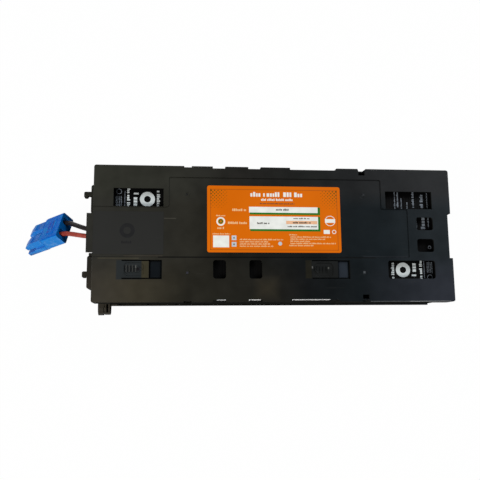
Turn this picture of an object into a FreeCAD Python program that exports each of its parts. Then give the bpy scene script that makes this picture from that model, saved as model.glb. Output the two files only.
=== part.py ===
import FreeCAD, Part
import math
import os

V = FreeCAD.Vector

# Replacement battery cartridge: four sealed 12 V blocks in a two-part moulded shell,
# wired in series to one two-pole plug on two short leads.
# Row frame: origin at the centre of the tray's underside, +X away from the plug end,
# +Y across the cartridge, +Z up through the cover. All lengths in millimetres.

# ---- battery blocks, lying on their broad side, lids facing in pairs ----
block_count = 4
block_length = 151.0
block_width = 65.0
block_height = 94.0
block_edge_radius = 1.5
block_lid_height = 19.0
lid_seam_depth = 0.4
lid_seam_width = 1.0
terminal_gap = 20.15
terminal_inset = 17.5
terminal_recess_depth = 1.0
terminal_recess_length = 24.0
terminal_recess_width = 18.0
vent_cover_width = 26.0
vent_cover_thickness = 1.4
vent_cover_margin = 0.6
vent_cover_fit = 0.3
block_label_margin = 11.5
block_label_height = 76.0
block_label_thickness = 0.2
block_label_inset = 9.0
tab_width = 6.35
tab_thickness = 0.8
tab_length = 7.9

# ---- shell ----
block_clearance = 0.5
tray_wall = 1.8
tray_floor = 2.5
foam_thickness = 1.5
foam_width = 18.0
shell_fit = 0.3
skirt_wall = 1.9
skirt_height = 22.0
cover_plate = 2.5
recess_depth = 1.2
corner_radius = 2.5
cover_edge_bevel = 0.7
wall_end_gap = 0.3
joint_overlap = 0.5
cut_past = 1.0

# ---- cover: sunk bed for the labels, measured from the cover's edges ----
recess_from_plug_end = 86.45
recess_from_far_end = 53.65
recess_step_from_far_end = 85.65
recess_from_upper_edge = 13.7
recess_step_from_upper_edge = 49.3
recess_from_lower_edge = 51.8
recess_corner_radius = 2.0

# ---- cover: windows over the blocks ----
slot_corner_radius = 3.0
upper_window_width = 21.3
upper_window_from_edge = 27.7
lower_window_width = 21.5
lower_window_from_edge = 27.0
end_window_length = 57.4
end_window_from_end = 22.85
side_window_length = 20.5
side_window_width = 15.7
side_window_offset = 13.2
slot_length = 14.9
slot_block = 1
slot_offsets = (-20.5, 21.6)

# ---- cover: snap tongues, and the pads past their tips ----
tongue_blocks = (0, 2)
tongue_offsets = (-18.05, -6.1)
tongue_pocket_length = 45.4
tongue_length = 31.0
tongue_thickness = 2.0
tongue_slot = 1.0
tongue_dish_depth = 0.9
tongue_dish_start = 3.0
tongue_dish_length = 22.0
tongue_dish_margin = 2.0
tongue_dish_radius = 4.0
tongue_rib_start = 5.5
tongue_rib_margin = 4.0
tongue_rib_height = 0.7
tongue_rib_width = 1.2
tongue_rib_pitch = 3.6
tongue_rib_count = 3
tongue_bow_gap = 1.5
tongue_arrow_gap = 1.4
tongue_arrow_length = 5.5
tongue_arrow_width = 8.0
tongue_barb_depth = 1.6
catch_pad_drop = 3.2
catch_shelf_drop = 5.6
catch_shelf_thickness = 1.8
catch_wall = 1.2
catch_slot = 1.2

# ---- cover: bites in its long edges ----
small_notch_length = 8.8
small_notch_depth = 1.7
slot_notch_depth = 2.5
long_notch_block = 2
long_notch_start = -29.7
long_notch_end = 27.0
long_notch_depth = 2.6
long_notch_slope = 2.8
hook_notch_start = -4.5
hook_notch_end = 5.8
hook_notch_depth = 2.8
hook_notch_slope = 2.0
hook_hole_start = -3.5
hook_hole_length = 7.6
hook_hole_depth = 8.3

# ---- cover: ends ----
end_plate_reach = 7.2
end_plate_width = 45.5
end_recess_width = 54.3
end_recess_offset = -1.15
end_recess_depth = 4.2
end_recess_radius = 1.0
lead_slot_width = 26.0
lead_slot_drop = 6.45

# ---- posts that line the cover up over the tray ----
post_radius = 4.0
post_sides = 12
post_top_drop = 5.0
post_flag_gap = 1.5
socket_wall = 2.2
socket_clearance = 0.3
socket_depth = 18.0
dimple_radius = 2.6
dimple_depth = 0.4

# ---- hold-down ribs under the cover, as offsets from the blocks' middles ----
hold_rib_places = ((0, 39.15), (1, 0.0), (2, -27.0), (3, -39.15), (3, 38.35))
hold_rib_thickness = 1.6
hold_rib_gap = 0.3
hold_rib_lead_gap = 6.25
hold_rib_wall_gap = 6.0

# ---- snap hooks on the tray in the skirt's windows ----
snap_width = 9.0
snap_height = 5.0
snap_reach = 1.5
snap_above_skirt = 6.0
snap_clearance = 0.3

# ---- tray: outside ----
side_rib_count = 12
side_rib_from_end = 23.45
side_rib_thickness = 2.0
side_rib_reach = 1.6
base_rail_height = 3.0
base_rail_reach = 1.9
base_chamfer = 0.8

# ---- tray: plug end ----
end_boss_radius = 2.5
end_boss_bottom = 18.0
end_boss_drop = 1.0
upper_boss_from_edge = 16.8
upper_boss_width = 34.5
upper_boss_reach = 7.7
lower_boss_from_edge = 15.3
lower_boss_width = 38.5
lower_boss_reach = 10.6
hook_tab_offsets = (5.25, -2.75)
hook_tab_width = 7.4
hook_tab_neck = 5.4
hook_tab_reach = 16.0
hook_tab_height = 6.0
hook_tab_knob = 5.0
hook_tab_knob_radius = 1.9
lug_from_end = 2.95
lug_width = 14.0
lug_band_width = 7.4
lug_reach = 15.0
lug_height = 17.0
lug_drop = 4.0
lug_groove_width = 1.0
lug_groove_depth = 1.2
lug_plate_inset = 0.6
lug_slot_width = 2.2
lug_slot_floor = 3.0

# ---- labels in the cover's bed ----
label_thickness = 0.2
rating_label_length = 158.6
rating_label_from_left = 44.5
rating_label_from_bottom = 5.8
rating_label_from_top = 9.4
rating_label_radius = 2.5
end_sticker_length = 80.2
end_sticker_inset = 0.4
end_sticker_from_bottom = 3.25
end_sticker_from_top = 5.75
end_sticker_radius = 1.2

# ---- wiring in the case ----
lead_diameter = 5.5
lead_over_block_gap = 0.25
lead_headroom = 0.35
wire_sides = 14
wire_bend_runs = 3
wire_rise_radius = 5.5
wire_corner_radius = 10.0
wire_tight_radius = 4.0
wire_row_spacing = 8.5
wire_exit_spacing = 7.8
wire_exit_inset = 6.65
red_cross_run_inset = 18.65
black_cross_run_inset = 26.15
flag_standoff = 1.3
flag_width = 8.0
flag_depth = 6.4
flag_height = 15.0
flag_wall = 1.2
flag_side_fit = 0.2
flag_face_fit = 0.1

# ---- two-pole plug ----
plug_length = 59.8
plug_width = 36.0
plug_height = 17.0
plug_body_length = 29.0
plug_edge_round = 2.2
plug_pole_spacing = 17.0
plug_hole_radius = 4.0
plug_hole_depth = 17.0
plug_hole_scoop = 2.5
plug_scoop_rise = 1.5
plug_scoop_clearance = 0.8
plug_lead_depth = 12.0
plug_shoulder = 4.0
plug_pad_start = 8.0
plug_pad_length = 14.0
plug_pad_width = 22.0
plug_pad_height = 0.5
plug_pad_radius = 2.0
hood_inset = 3.0
hood_low = -1.2
hood_drop = 1.0
hood_end_drop = 0.5
hood_radius = 2.4
hood_slope_length = 15.0
hood_slope_drop = 6.5
tine_gap = 7.6
tine_root = 3.0
tongue_side_width = 6.2
tongue_side_step = 0.7
tongue_side_height = 4.6
shelf_slot = 1.3
shelf_end_drop = 13.0
spine_end_drop = 14.5
web_length = 4.5
web_bottom_drop = 1.5
web_top_drop = 3.0
grip_rib_count = 7
grip_rib_pitch = 2.1
grip_rib_start = 2.0
grip_rib_width = 1.0
grip_rib_height = 0.5
grip_rib_margin = 1.0
contact_width = 7.6
contact_thickness = 2.0
contact_low = -1.0
contact_end_drop = 6.0
contact_root_width = 3.6
contact_fit = 0.3
barrel_fit = 0.4
barrel_end_gap = 0.2
spring_width = 5.0
spring_thickness = 0.5
spring_gap = 0.05
spring_end_drop = 12.0

# ---- how the plug lies: its rear centre from the leads' exit, its nose and its red side ----
plug_from_exit = V(-46.7, 10.2, 49.0)
plug_nose = V(-0.792, -0.173, -0.586)
plug_across = V(-0.157, -0.869, 0.469)

# ---- worked out from the sizes above ----
block_low = tray_floor + foam_thickness
block_high = block_low + block_width
block_label_length = block_length - 2 * block_label_margin
lead_radius = lead_diameter / 2
lead_z = block_high + block_label_thickness + lead_over_block_gap + lead_radius
recess_under = lead_z + lead_radius + lead_headroom
recess_floor = recess_under + cover_plate
cover_top = recess_floor + recess_depth
plate_under = cover_top - cover_plate
skirt_low = cover_top - skirt_height
tray_top = recess_under - wall_end_gap
tray_in_x = block_count * block_height / 2 + terminal_gap + block_clearance
tray_in_y = block_length / 2 + block_clearance
tray_out_x = tray_in_x + tray_wall
tray_out_y = tray_in_y + tray_wall
cover_x = tray_out_x + shell_fit + skirt_wall
cover_y = tray_out_y + shell_fit + skirt_wall
gap_centre = block_height + terminal_gap / 2
terminal_y = block_length / 2 - terminal_inset
terminal_z = block_low + block_width / 2
vent_half = terminal_y - terminal_recess_length / 2 - vent_cover_margin

recess_left = -cover_x + recess_from_plug_end
recess_right = cover_x - recess_from_far_end
recess_step_right = cover_x - recess_step_from_far_end
recess_high = cover_y - recess_from_upper_edge
recess_step_high = cover_y - recess_step_from_upper_edge
recess_low = -cover_y + recess_from_lower_edge
rating_label_width = recess_high - recess_low - rating_label_from_bottom - rating_label_from_top
end_sticker_low = recess_low + end_sticker_from_bottom
end_sticker_width = recess_step_high - end_sticker_from_top - end_sticker_low
upper_window_high = cover_y - upper_window_from_edge
upper_window_low = upper_window_high - upper_window_width
lower_window_low = -cover_y + lower_window_from_edge
lower_window_high = lower_window_low + lower_window_width
window_end = cover_x - end_window_from_end

socket_bore = post_radius + socket_clearance
post_y = terminal_y - flag_width / 2 - post_flag_gap - socket_bore - socket_wall
post_places = [(sx * gap_centre, sy * post_y) for sx in (-1, 1) for sy in (-1, 1)]
post_top = recess_under - post_top_drop
socket_low = recess_under - socket_depth
snap_z = skirt_low + snap_above_skirt

exit_x = -tray_in_x + wire_exit_inset
red_exit = -wire_exit_spacing / 2
black_exit = wire_exit_spacing / 2

parts = {}


# ---------------------------------------------------------------- helpers

def span(a, b):
    return (a, b) if a < b else (b, a)


def block(x0, x1, y0, y1, z0, z1):
    """A box between two corners."""
    return Part.makeBox(x1 - x0, y1 - y0, z1 - z0, V(x0, y0, z0))


def cylinder(radius, height, base, axis=V(0, 0, 1)):
    return Part.makeCylinder(radius, height, base, axis)


def sided_post(radius, height, base):
    """An upright post with flats, for bosses that stay hidden."""
    ring = []
    for i in range(post_sides):
        turn = 2 * math.pi * (i + 0.5) / post_sides
        ring.append(base + V(radius * math.cos(turn), radius * math.sin(turn), 0))
    return swept(ring, V(0, 0, height))


def rounded_outline(points, radius, z):
    """A closed outline through the points, with each corner rounded."""
    corners = [V(x, y, z) for x, y in points]
    arcs = []
    for i, here in enumerate(corners):
        to_last = (corners[i - 1] - here).normalize()
        to_next = (corners[(i + 1) % len(corners)] - here).normalize()
        half = to_last.getAngle(to_next) / 2
        back = radius / math.tan(half)
        inward = (to_last + to_next).normalize()
        middle = here + inward * (radius / math.sin(half) - radius)
        arcs.append((here + to_last * back, middle, here + to_next * back))
    edges = []
    for i, (start, middle, end) in enumerate(arcs):
        edges.append(Part.LineSegment(arcs[i - 1][2], start).toShape())
        edges.append(Part.Arc(start, middle, end).toShape())
    return Part.Wire(edges)


def rounded_prism(points, radius, z0, z1):
    return Part.Face(rounded_outline(points, radius, z0)).extrude(V(0, 0, z1 - z0))


def rounded_block(x0, x1, y0, y1, z0, z1, radius):
    """A box whose four upright edges are rounded."""
    return rounded_prism([(x0, y0), (x1, y0), (x1, y1), (x0, y1)], radius, z0, z1)


def swept(ring, way):
    """A closed ring of corners, extruded along a vector."""
    return polygon_face(ring).extrude(way)


def prism(points, z0, z1):
    return swept([V(x, y, z0) for x, y in points], V(0, 0, z1 - z0))


def edges_where(shape, test):
    """The edges whose middle point passes the test."""
    return [e for e in shape.Edges if test(e.CenterOfMass)]


def near(a, b):
    return abs(a - b) < 0.01


def polygon_face(ring):
    return Part.Face(Part.makePolygon(ring + ring[:1]))


def section_ring(at, heading):
    """The corners of a wire's many-sided section, which keeps its bends light."""
    side = heading.cross(V(0, 0, 1))
    if side.Length < 0.1:
        side = heading.cross(V(1, 0, 0))
    side = side.normalize()
    other = heading.cross(side).normalize()
    ring = []
    for i in range(wire_sides):
        turn = 2 * math.pi * (i + 0.5) / wire_sides
        ring.append(at + side * (lead_radius * math.cos(turn)) + other * (lead_radius * math.sin(turn)))
    return ring


def tube(points, radii):
    """A lead along straight runs joined by tangent arcs: the solid, its section and its length."""
    face = polygon_face(section_ring(points[0], points[1] - points[0]))
    section = face.Area
    pieces = []
    length = 0.0
    start = points[0]
    for i, radius in enumerate(radii):
        here = points[i + 1]
        back = (points[i] - here).normalize()
        on = (points[i + 2] - here).normalize()
        half = back.getAngle(on) / 2
        turn = math.pi - 2 * half
        run = here + back * (radius / math.tan(half)) - start
        centre = here + (back + on).normalize() * (radius / math.sin(half))
        axis = on.cross(back)
        pieces.append(face.extrude(run))
        face = face.translated(run)
        pieces.append(face.revolve(centre, axis, math.degrees(turn)))
        face = face.rotated(centre, axis, math.degrees(turn))
        length += run.Length + radius * turn
        start = here + on * (radius / math.tan(half))
    last_run = points[-1] - start
    pieces.append(face.extrude(last_run))
    return pieces[0].fuse(pieces[1:]).removeSplitter(), section, length + last_run.Length


def mitred_wire(points, radii):
    """A many-sided wire whose bends are short straight runs, mitred where they meet."""
    path = [points[0]]
    for i, radius in enumerate(radii):
        here = points[i + 1]
        back = (points[i] - here).normalize()
        on = (points[i + 2] - here).normalize()
        half = back.getAngle(on) / 2
        step = (math.pi - 2 * half) / wire_bend_runs
        centre = here + (back + on).normalize() * (radius / math.sin(half))
        spoke = here + back * (radius / math.tan(half)) - centre
        for k in range(wire_bend_runs):
            turned = FreeCAD.Rotation(on.cross(back), math.degrees((k + 0.5) * step)).multVec(spoke)
            path.append(centre + turned / math.cos(step / 2))
    path.append(points[-1])
    ring = section_ring(path[0], path[1] - path[0])
    faces = [polygon_face(ring)]
    for i in range(1, len(path)):
        way = (path[i] - path[i - 1]).normalize()
        onward = (path[i + 1] - path[i]).normalize() if i + 1 < len(path) else way
        mitre = way + onward
        end = [p + way * ((path[i] - p).dot(mitre) / way.dot(mitre)) for p in ring]
        for j in range(wire_sides):
            faces.append(polygon_face([ring[j - 1], ring[j], end[j], end[j - 1]]))
        ring = end
    faces.append(polygon_face(ring))
    return Part.Solid(Part.Shell(faces))


def widest_radii(points):
    """The arc radius that each pair of neighbouring runs leaves room for."""
    radii = []
    for i in range(1, len(points) - 1):
        back = points[i - 1] - points[i]
        on = points[i + 1] - points[i]
        half_turn = (math.pi - back.getAngle(on)) / 2
        radii.append(0.45 * min(back.Length, on.Length) / math.tan(half_turn))
    return radii


# ---------------------------------------------------------------- battery blocks

def lid_side(index):
    """+1 where a block's lid faces +X, -1 where it faces -X: lids face in pairs."""
    return 1 if index % 2 == 0 else -1


def from_base(index, distance):
    """The X at a distance from a block's base, towards its lid."""
    pair_length = 2 * block_height + terminal_gap
    pair_start = (index // 2 - block_count / 4) * pair_length
    base = pair_start if lid_side(index) > 0 else pair_start + pair_length
    return base + lid_side(index) * distance


def along_block(index, near_distance, far_distance):
    return span(from_base(index, near_distance), from_base(index, far_distance))


def block_middle(index):
    return from_base(index, block_height / 2)


def terminal_at(index, polarity):
    """The Y of a terminal: it swaps sides with the lid's facing."""
    return polarity * lid_side(index) * terminal_y


def make_block(index):
    x0, x1 = along_block(index, 0, block_height)
    half = block_length / 2
    body = rounded_block(x0, x1, -half, half, block_low, block_high, block_edge_radius)
    seam_start = block_height - block_lid_height
    seam0, seam1 = along_block(index, seam_start - lid_seam_width, seam_start)
    around = block(seam0, seam1, -half - cut_past, half + cut_past,
                   block_low - cut_past, block_high + cut_past)
    core = block(seam0, seam1, -half + lid_seam_depth, half - lid_seam_depth,
                 block_low + lid_seam_depth, block_high - lid_seam_depth)
    body = body.cut(around.cut(core))
    lid0, lid1 = along_block(index, block_height - terminal_recess_depth, block_height + cut_past)
    for polarity in (-1, 1):
        y = terminal_at(index, polarity)
        body = body.cut(block(lid0, lid1, y - terminal_recess_length / 2, y + terminal_recess_length / 2,
                              terminal_z - terminal_recess_width / 2, terminal_z + terminal_recess_width / 2))
    vent0, vent1 = along_block(index, block_height - vent_cover_thickness, block_height + cut_past)
    seat_y = vent_half + vent_cover_fit
    seat_z = vent_cover_width / 2 + vent_cover_fit
    return body.cut(block(vent0, vent1, -seat_y, seat_y, terminal_z - seat_z, terminal_z + seat_z))


def make_vent_cover(index):
    """The strip over the block's vents, seated in the lid."""
    x0, x1 = along_block(index, block_height - vent_cover_thickness, block_height)
    return block(x0, x1, -vent_half, vent_half,
                 terminal_z - vent_cover_width / 2, terminal_z + vent_cover_width / 2)


def make_tab(index, polarity):
    """A push-on tab with its foot on the floor of the lid's recess."""
    floor = block_height - terminal_recess_depth
    y = terminal_at(index, polarity)
    half = tab_width / 2
    foot0, foot1 = along_block(index, floor, floor + tab_thickness)
    blade0, blade1 = along_block(index, floor, floor + tab_length)
    foot = block(foot0, foot1, y - half, y + half, terminal_z - half, terminal_z + half)
    blade = block(blade0, blade1, y - half, y + half,
                  terminal_z - tab_thickness / 2, terminal_z + tab_thickness / 2)
    return foot.fuse(blade).removeSplitter()


def make_block_label(index):
    """The printed film on the broad side, under the cover's windows."""
    x0, x1 = along_block(index, block_label_inset, block_label_inset + block_label_height)
    return block(x0, x1, -block_label_length / 2, block_label_length / 2,
                 block_high, block_high + block_label_thickness)


def make_foam(index):
    """Two strips of foam tape between a block and the tray's floor."""
    x0, x1 = along_block(index, block_edge_radius, block_height - block_edge_radius)
    strips = []
    for y in (-block_length / 4, block_length / 4):
        strips.append(block(x0, x1, y - foam_width / 2, y + foam_width / 2, tray_floor, block_low))
    return Part.makeCompound(strips)


for i in range(block_count):
    name = "battery_%d" % (i + 1)
    parts[name + "_block"] = make_block(i)
    parts[name + "_vent_cover"] = make_vent_cover(i)
    parts[name + "_positive_tab"] = make_tab(i, 1)
    parts[name + "_negative_tab"] = make_tab(i, -1)
    parts[name + "_label"] = make_block_label(i)
    parts[name + "_foam_strips"] = make_foam(i)


# ---------------------------------------------------------------- wiring in the case

def flag_low():
    return terminal_z - flag_wall - tab_thickness


def make_flag(index, polarity):
    """A flag receptacle in its sleeve: it slides onto its tab and the lead leaves upwards."""
    standoff = block_height + flag_standoff
    x0, x1 = along_block(index, standoff, standoff + flag_depth)
    y = terminal_at(index, polarity)
    sleeve = block(x0, x1, y - flag_width / 2, y + flag_width / 2, flag_low(), flag_low() + flag_height)
    slot_y = tab_width / 2 + flag_side_fit
    slot_z = tab_thickness / 2 + flag_face_fit
    return sleeve.cut(block(x0 - cut_past, x1 + cut_past, y - slot_y, y + slot_y,
                            terminal_z - slot_z, terminal_z + slot_z))


def flag_top(index, polarity):
    """Where a lead meets its receptacle, looking up."""
    x = from_base(index, block_height + flag_standoff + flag_depth / 2)
    return V(x, terminal_at(index, polarity), flag_low() + flag_height)


def make_jumper(first, second):
    """A wire that rises from one receptacle, crosses over and drops to the other."""
    a = flag_top(*first)
    b = flag_top(*second)
    turn = min(wire_rise_radius, 0.45 * (b - a).Length)
    points = [a, V(a.x, a.y, lead_z), V(b.x, b.y, lead_z), b]
    return mitred_wire(points, [turn, turn])


for i in range(1, block_count):
    name = "jumper_%d_%d" % (i, i + 1)
    from_flag = (i - 1, 1)
    to_flag = (i, -1)
    parts[name] = make_jumper(from_flag, to_flag)
    parts[name + "_receptacles"] = Part.makeCompound([make_flag(*from_flag), make_flag(*to_flag)])

black_flag = (0, -1)
black_start = flag_top(*black_flag)
black_cross_x = -tray_in_x + black_cross_run_inset
black_points = [black_start, V(black_start.x, black_start.y, lead_z), V(black_cross_x, black_start.y, lead_z),
                V(black_cross_x, black_exit, lead_z), V(exit_x, black_exit, lead_z)]
black_radii = [wire_rise_radius, wire_corner_radius, wire_corner_radius]
parts["black_lead_in_case"] = mitred_wire(black_points, black_radii)
parts["black_lead_receptacle"] = make_flag(*black_flag)

red_flag = (block_count - 1, 1)
red_start = flag_top(*red_flag)
red_row = red_start.y - wire_row_spacing
red_cross_x = -tray_in_x + red_cross_run_inset
red_points = [red_start, V(red_start.x, red_start.y, lead_z), V(red_start.x, red_row, lead_z),
              V(red_cross_x, red_row, lead_z), V(red_cross_x, red_exit, lead_z), V(exit_x, red_exit, lead_z)]
red_radii = [wire_tight_radius, wire_tight_radius, wire_corner_radius, wire_corner_radius]
parts["red_lead_in_case"] = mitred_wire(red_points, red_radii)
parts["red_lead_receptacle"] = make_flag(*red_flag)


# ---------------------------------------------------------------- tray

def tray_end_boss(y0, y1, reach):
    """A guide boss on the plug end of the tray."""
    return rounded_block(-tray_out_x - reach, -tray_out_x + tray_wall / 2, y0, y1,
                         end_boss_bottom, skirt_low - end_boss_drop, end_boss_radius)


def hook_tab(centre):
    """A short hooked tab that stands out past its end boss."""
    top = skirt_low - end_boss_drop
    low = top - hook_tab_height
    y0 = centre - hook_tab_width / 2
    y1 = centre + hook_tab_width / 2
    tip = -tray_out_x - hook_tab_reach
    neck = block(tip + hook_tab_knob / 2, -tray_out_x, y1 - hook_tab_neck, y1, low, top)
    return neck.fuse(rounded_block(tip, tip + hook_tab_knob, y0, y1, low, top, hook_tab_knob_radius))


def side_lug():
    """A half-round band and a slotted plate, side by side on the long wall."""
    radius = lug_height / 2
    middle_z = skirt_low - lug_drop - radius
    centre_y = -tray_out_y - lug_reach + radius
    root_y = -tray_out_y + tray_wall / 2
    left = -tray_out_x + lug_from_end
    split = left + lug_band_width
    right = left + lug_width

    def bar_with_nose(x0, x1, nose):
        barrel = cylinder(nose, x1 - x0, V(x0, centre_y, middle_z), V(1, 0, 0))
        return barrel.fuse(block(x0, x1, centre_y, root_y, middle_z - nose, middle_z + nose))

    groove_x = split - lug_groove_width
    groove_at = V(groove_x, centre_y, middle_z)
    groove = cylinder(radius + cut_past, lug_groove_width, groove_at, V(1, 0, 0))
    groove = groove.cut(cylinder(radius - lug_groove_depth, lug_groove_width, groove_at, V(1, 0, 0)))
    outer_half = block(groove_x, split, centre_y - lug_height, centre_y,
                       middle_z - lug_height, middle_z + lug_height)
    band = bar_with_nose(left, split, radius).cut(groove.common(outer_half))
    slot_x = (split + right) / 2
    slot = block(slot_x - lug_slot_width / 2, slot_x + lug_slot_width / 2,
                 centre_y - radius + lug_slot_floor, centre_y + radius / 2,
                 middle_z - radius + lug_slot_floor, middle_z + lug_height)
    plate = bar_with_nose(split, right, radius - lug_plate_inset)
    return band.fuse(plate.cut(slot))


def snap_hook(x, side):
    """A wedge on the tray's wall: its flat top catches the skirt's window."""
    top = snap_z + snap_height / 2 - snap_clearance
    low = snap_z - snap_height / 2 + snap_clearance
    wall = side * (tray_out_y - tray_wall / 2)
    face = side * tray_out_y
    tip = side * (tray_out_y + snap_reach)
    half = snap_width / 2 - snap_clearance
    ring = [V(x - half, wall, low), V(x - half, face, low), V(x - half, tip, top), V(x - half, wall, top)]
    return swept(ring, V(2 * half, 0, 0))


def long_wall_ribs(side):
    """The rail along the foot of a long wall, and the upright ribs above it."""
    wall = side * (tray_out_y - tray_wall / 2)
    rail_top = base_chamfer + base_rail_height
    rail_x = tray_out_x - corner_radius
    y0, y1 = span(wall, side * (tray_out_y + base_rail_reach))
    pieces = [block(-rail_x, rail_x, y0, y1, base_chamfer, rail_top)]
    y0, y1 = span(wall, side * (tray_out_y + side_rib_reach))
    first = -tray_out_x + side_rib_from_end
    pitch = -2 * first / (side_rib_count - 1)
    for i in range(side_rib_count):
        x = first + i * pitch
        pieces.append(block(x - side_rib_thickness / 2, x + side_rib_thickness / 2, y0, y1,
                            rail_top, skirt_low - end_boss_drop))
    return pieces


def make_tray():
    outer = rounded_block(-tray_out_x, tray_out_x, -tray_out_y, tray_out_y, 0, tray_top, corner_radius)
    outer = outer.makeChamfer(base_chamfer, edges_where(outer, lambda c: near(c.z, 0)))
    inner = block(-tray_in_x, tray_in_x, -tray_in_y, tray_in_y, tray_floor, tray_top + cut_past)
    upper_boss_high = tray_out_y - upper_boss_from_edge
    upper_boss = (upper_boss_high - upper_boss_width, upper_boss_high)
    lower_boss_low = -tray_out_y + lower_boss_from_edge
    lower_boss = (lower_boss_low, lower_boss_low + lower_boss_width)
    outside = [tray_end_boss(*upper_boss, upper_boss_reach), tray_end_boss(*lower_boss, lower_boss_reach)]
    for (low, high), offset in zip((upper_boss, lower_boss), hook_tab_offsets):
        outside.append(hook_tab((low + high) / 2 + offset))
    outside.append(side_lug())
    for side in (-1, 1):
        outside += long_wall_ribs(side)
    solid = outer.fuse(outside).cut(inner)
    posts = []
    for x, y in post_places:
        foot = tray_floor - joint_overlap
        posts.append(sided_post(post_radius, post_top - foot, V(x, y, foot)))
    lead_slot = block(-tray_out_x - cut_past, -tray_in_x + cut_past, -lead_slot_width / 2,
                      lead_slot_width / 2, lead_z - lead_radius - lead_slot_drop, tray_top + cut_past)
    hooks = [snap_hook(sx * gap_centre, side) for sx in (-1, 1) for side in (-1, 1)]
    return solid.fuse(posts).cut(lead_slot).fuse(hooks).removeSplitter()


parts["bottom_tray"] = make_tray()


# ---------------------------------------------------------------- cover

def bed_outline(grow):
    """The sunk bed's outline: it runs off the plug end and steps twice at its upper side."""
    off_the_end = -cover_x - end_plate_reach - corner_radius
    return [(recess_left - grow, recess_high + grow), (recess_left - grow, recess_step_high + grow),
            (off_the_end, recess_step_high + grow), (off_the_end, recess_low - grow),
            (recess_right + grow, recess_low - grow), (recess_right + grow, recess_step_high + grow),
            (recess_step_right + grow, recess_step_high + grow),
            (recess_step_right + grow, recess_high + grow)]


def cover_shell():
    """The plate and skirt, with the bed sunk into the plate at an even wall."""
    outer = rounded_block(-cover_x, cover_x, -cover_y, cover_y, skirt_low, cover_top, corner_radius)
    outer = outer.makeChamfer(cover_edge_bevel, edges_where(outer, lambda c: near(c.z, cover_top)))
    outer = outer.fuse(block(-cover_x - end_plate_reach, -cover_x + corner_radius + skirt_wall,
                             -end_plate_width / 2, end_plate_width / 2, recess_under, recess_floor))
    outer = outer.cut(rounded_prism(bed_outline(0), recess_corner_radius, recess_floor, cover_top + cut_past))
    inner_x = cover_x - skirt_wall
    inner_y = cover_y - skirt_wall
    hollow = block(-inner_x, inner_x, -inner_y, inner_y, skirt_low - cut_past, plate_under)
    under_bed = prism(bed_outline(recess_depth), recess_under, cover_top)
    return outer.cut(hollow.cut(under_bed))


def window(x0, x1, y0, y1, radius=0.0):
    """An opening through the plate, with rounded corners where a radius is given."""
    low = recess_under - cut_past
    high = cover_top + cut_past
    if radius:
        return rounded_block(x0, x1, y0, y1, low, high, radius)
    return block(x0, x1, y0, y1, low, high)


def tongue_pockets():
    return [block_middle(i) + offset for i, offset in zip(tongue_blocks, tongue_offsets)]


def slot_middles():
    return [block_middle(slot_block) + offset for offset in slot_offsets]


def cover_windows():
    windows = []
    for sx in (-1, 1):
        x0, x1 = span(sx * (window_end - end_window_length), sx * window_end)
        windows.append(window(x0, x1, upper_window_low, upper_window_high))
    windows.append(window(window_end - end_window_length, window_end, lower_window_low, lower_window_high,
                          slot_corner_radius))
    for y in (-side_window_offset, side_window_offset):
        windows.append(window(window_end - side_window_length, window_end, y - side_window_width / 2,
                              y + side_window_width / 2, slot_corner_radius))
    for x in slot_middles():
        windows.append(window(x - slot_length / 2, x + slot_length / 2, lower_window_low, lower_window_high,
                              slot_corner_radius))
    for left in tongue_pockets():
        windows.append(window(left, left + tongue_pocket_length, lower_window_low, lower_window_high))
    return windows


def snap_tongue(left):
    """A springy tongue, one with the plate at its left end, with a ribbed dish and a barbed tip."""
    y0 = lower_window_low + tongue_slot
    y1 = lower_window_high - tongue_slot
    middle = (y0 + y1) / 2
    under = cover_top - tongue_thickness
    tip = left + tongue_length
    floor = cover_top - tongue_dish_depth
    rib_top = floor + tongue_rib_height
    dish_start = left + tongue_dish_start
    tongue = block(left - joint_overlap, tip, y0, y1, under, cover_top)
    dish = rounded_block(dish_start, dish_start + tongue_dish_length, y0 + tongue_dish_margin,
                         y1 - tongue_dish_margin, floor, cover_top + cut_past, tongue_dish_radius)
    tongue = tongue.cut(dish)
    rib_half = (y1 - y0) / 2 - tongue_dish_margin - tongue_rib_margin
    first_rib = dish_start + tongue_rib_start
    raised = []
    for i in range(tongue_rib_count):
        x = first_rib + i * tongue_rib_pitch
        raised.append(block(x, x + tongue_rib_width, middle - rib_half, middle + rib_half, floor, rib_top))
    bow_radius = rib_half + tongue_rib_width
    bow_centre = V(first_rib, middle, floor)
    bow = cylinder(bow_radius, tongue_rib_height, bow_centre)
    bow = bow.cut(cylinder(bow_radius - tongue_rib_width, tongue_rib_height, bow_centre))
    bow_part = block(first_rib - bow_radius, first_rib - tongue_bow_gap, y0, y1, floor, rib_top)
    raised.append(bow.common(bow_part))
    arrow = first_rib + (tongue_rib_count - 1) * tongue_rib_pitch + tongue_rib_width + tongue_arrow_gap
    raised.append(prism([(arrow, middle - tongue_arrow_width / 2), (arrow + tongue_arrow_length, middle),
                         (arrow, middle + tongue_arrow_width / 2)], floor, rib_top))
    barb = [V(tip - 2 * tongue_barb_depth, y0, under), V(tip, y0, under),
            V(tip, y0, under - tongue_barb_depth)]
    return tongue.fuse(raised + [swept(barb, V(0, y1 - y0, 0))])


def catch_pad(left):
    """The sunk pad past a tongue's tip, on a shelf that hangs from the plate by three walls."""
    tip = left + tongue_length
    right = left + tongue_pocket_length
    y0 = lower_window_low - catch_wall
    y1 = lower_window_high + catch_wall
    shelf_top = cover_top - catch_shelf_drop
    shelf_low = shelf_top - catch_shelf_thickness
    shelf = block(tip, right + catch_wall, y0, y1, shelf_low, shelf_top)
    walls = block(tip, right + catch_wall, y0, y1, shelf_low, plate_under + joint_overlap)
    walls = walls.cut(block(tip - cut_past, right, lower_window_low, lower_window_high, shelf_low, cover_top))
    pad = block(tip + catch_slot, right - catch_slot, lower_window_low + catch_slot,
                lower_window_high - catch_slot, shelf_top - joint_overlap, cover_top - catch_pad_drop)
    return shelf.fuse([walls, pad])


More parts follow.
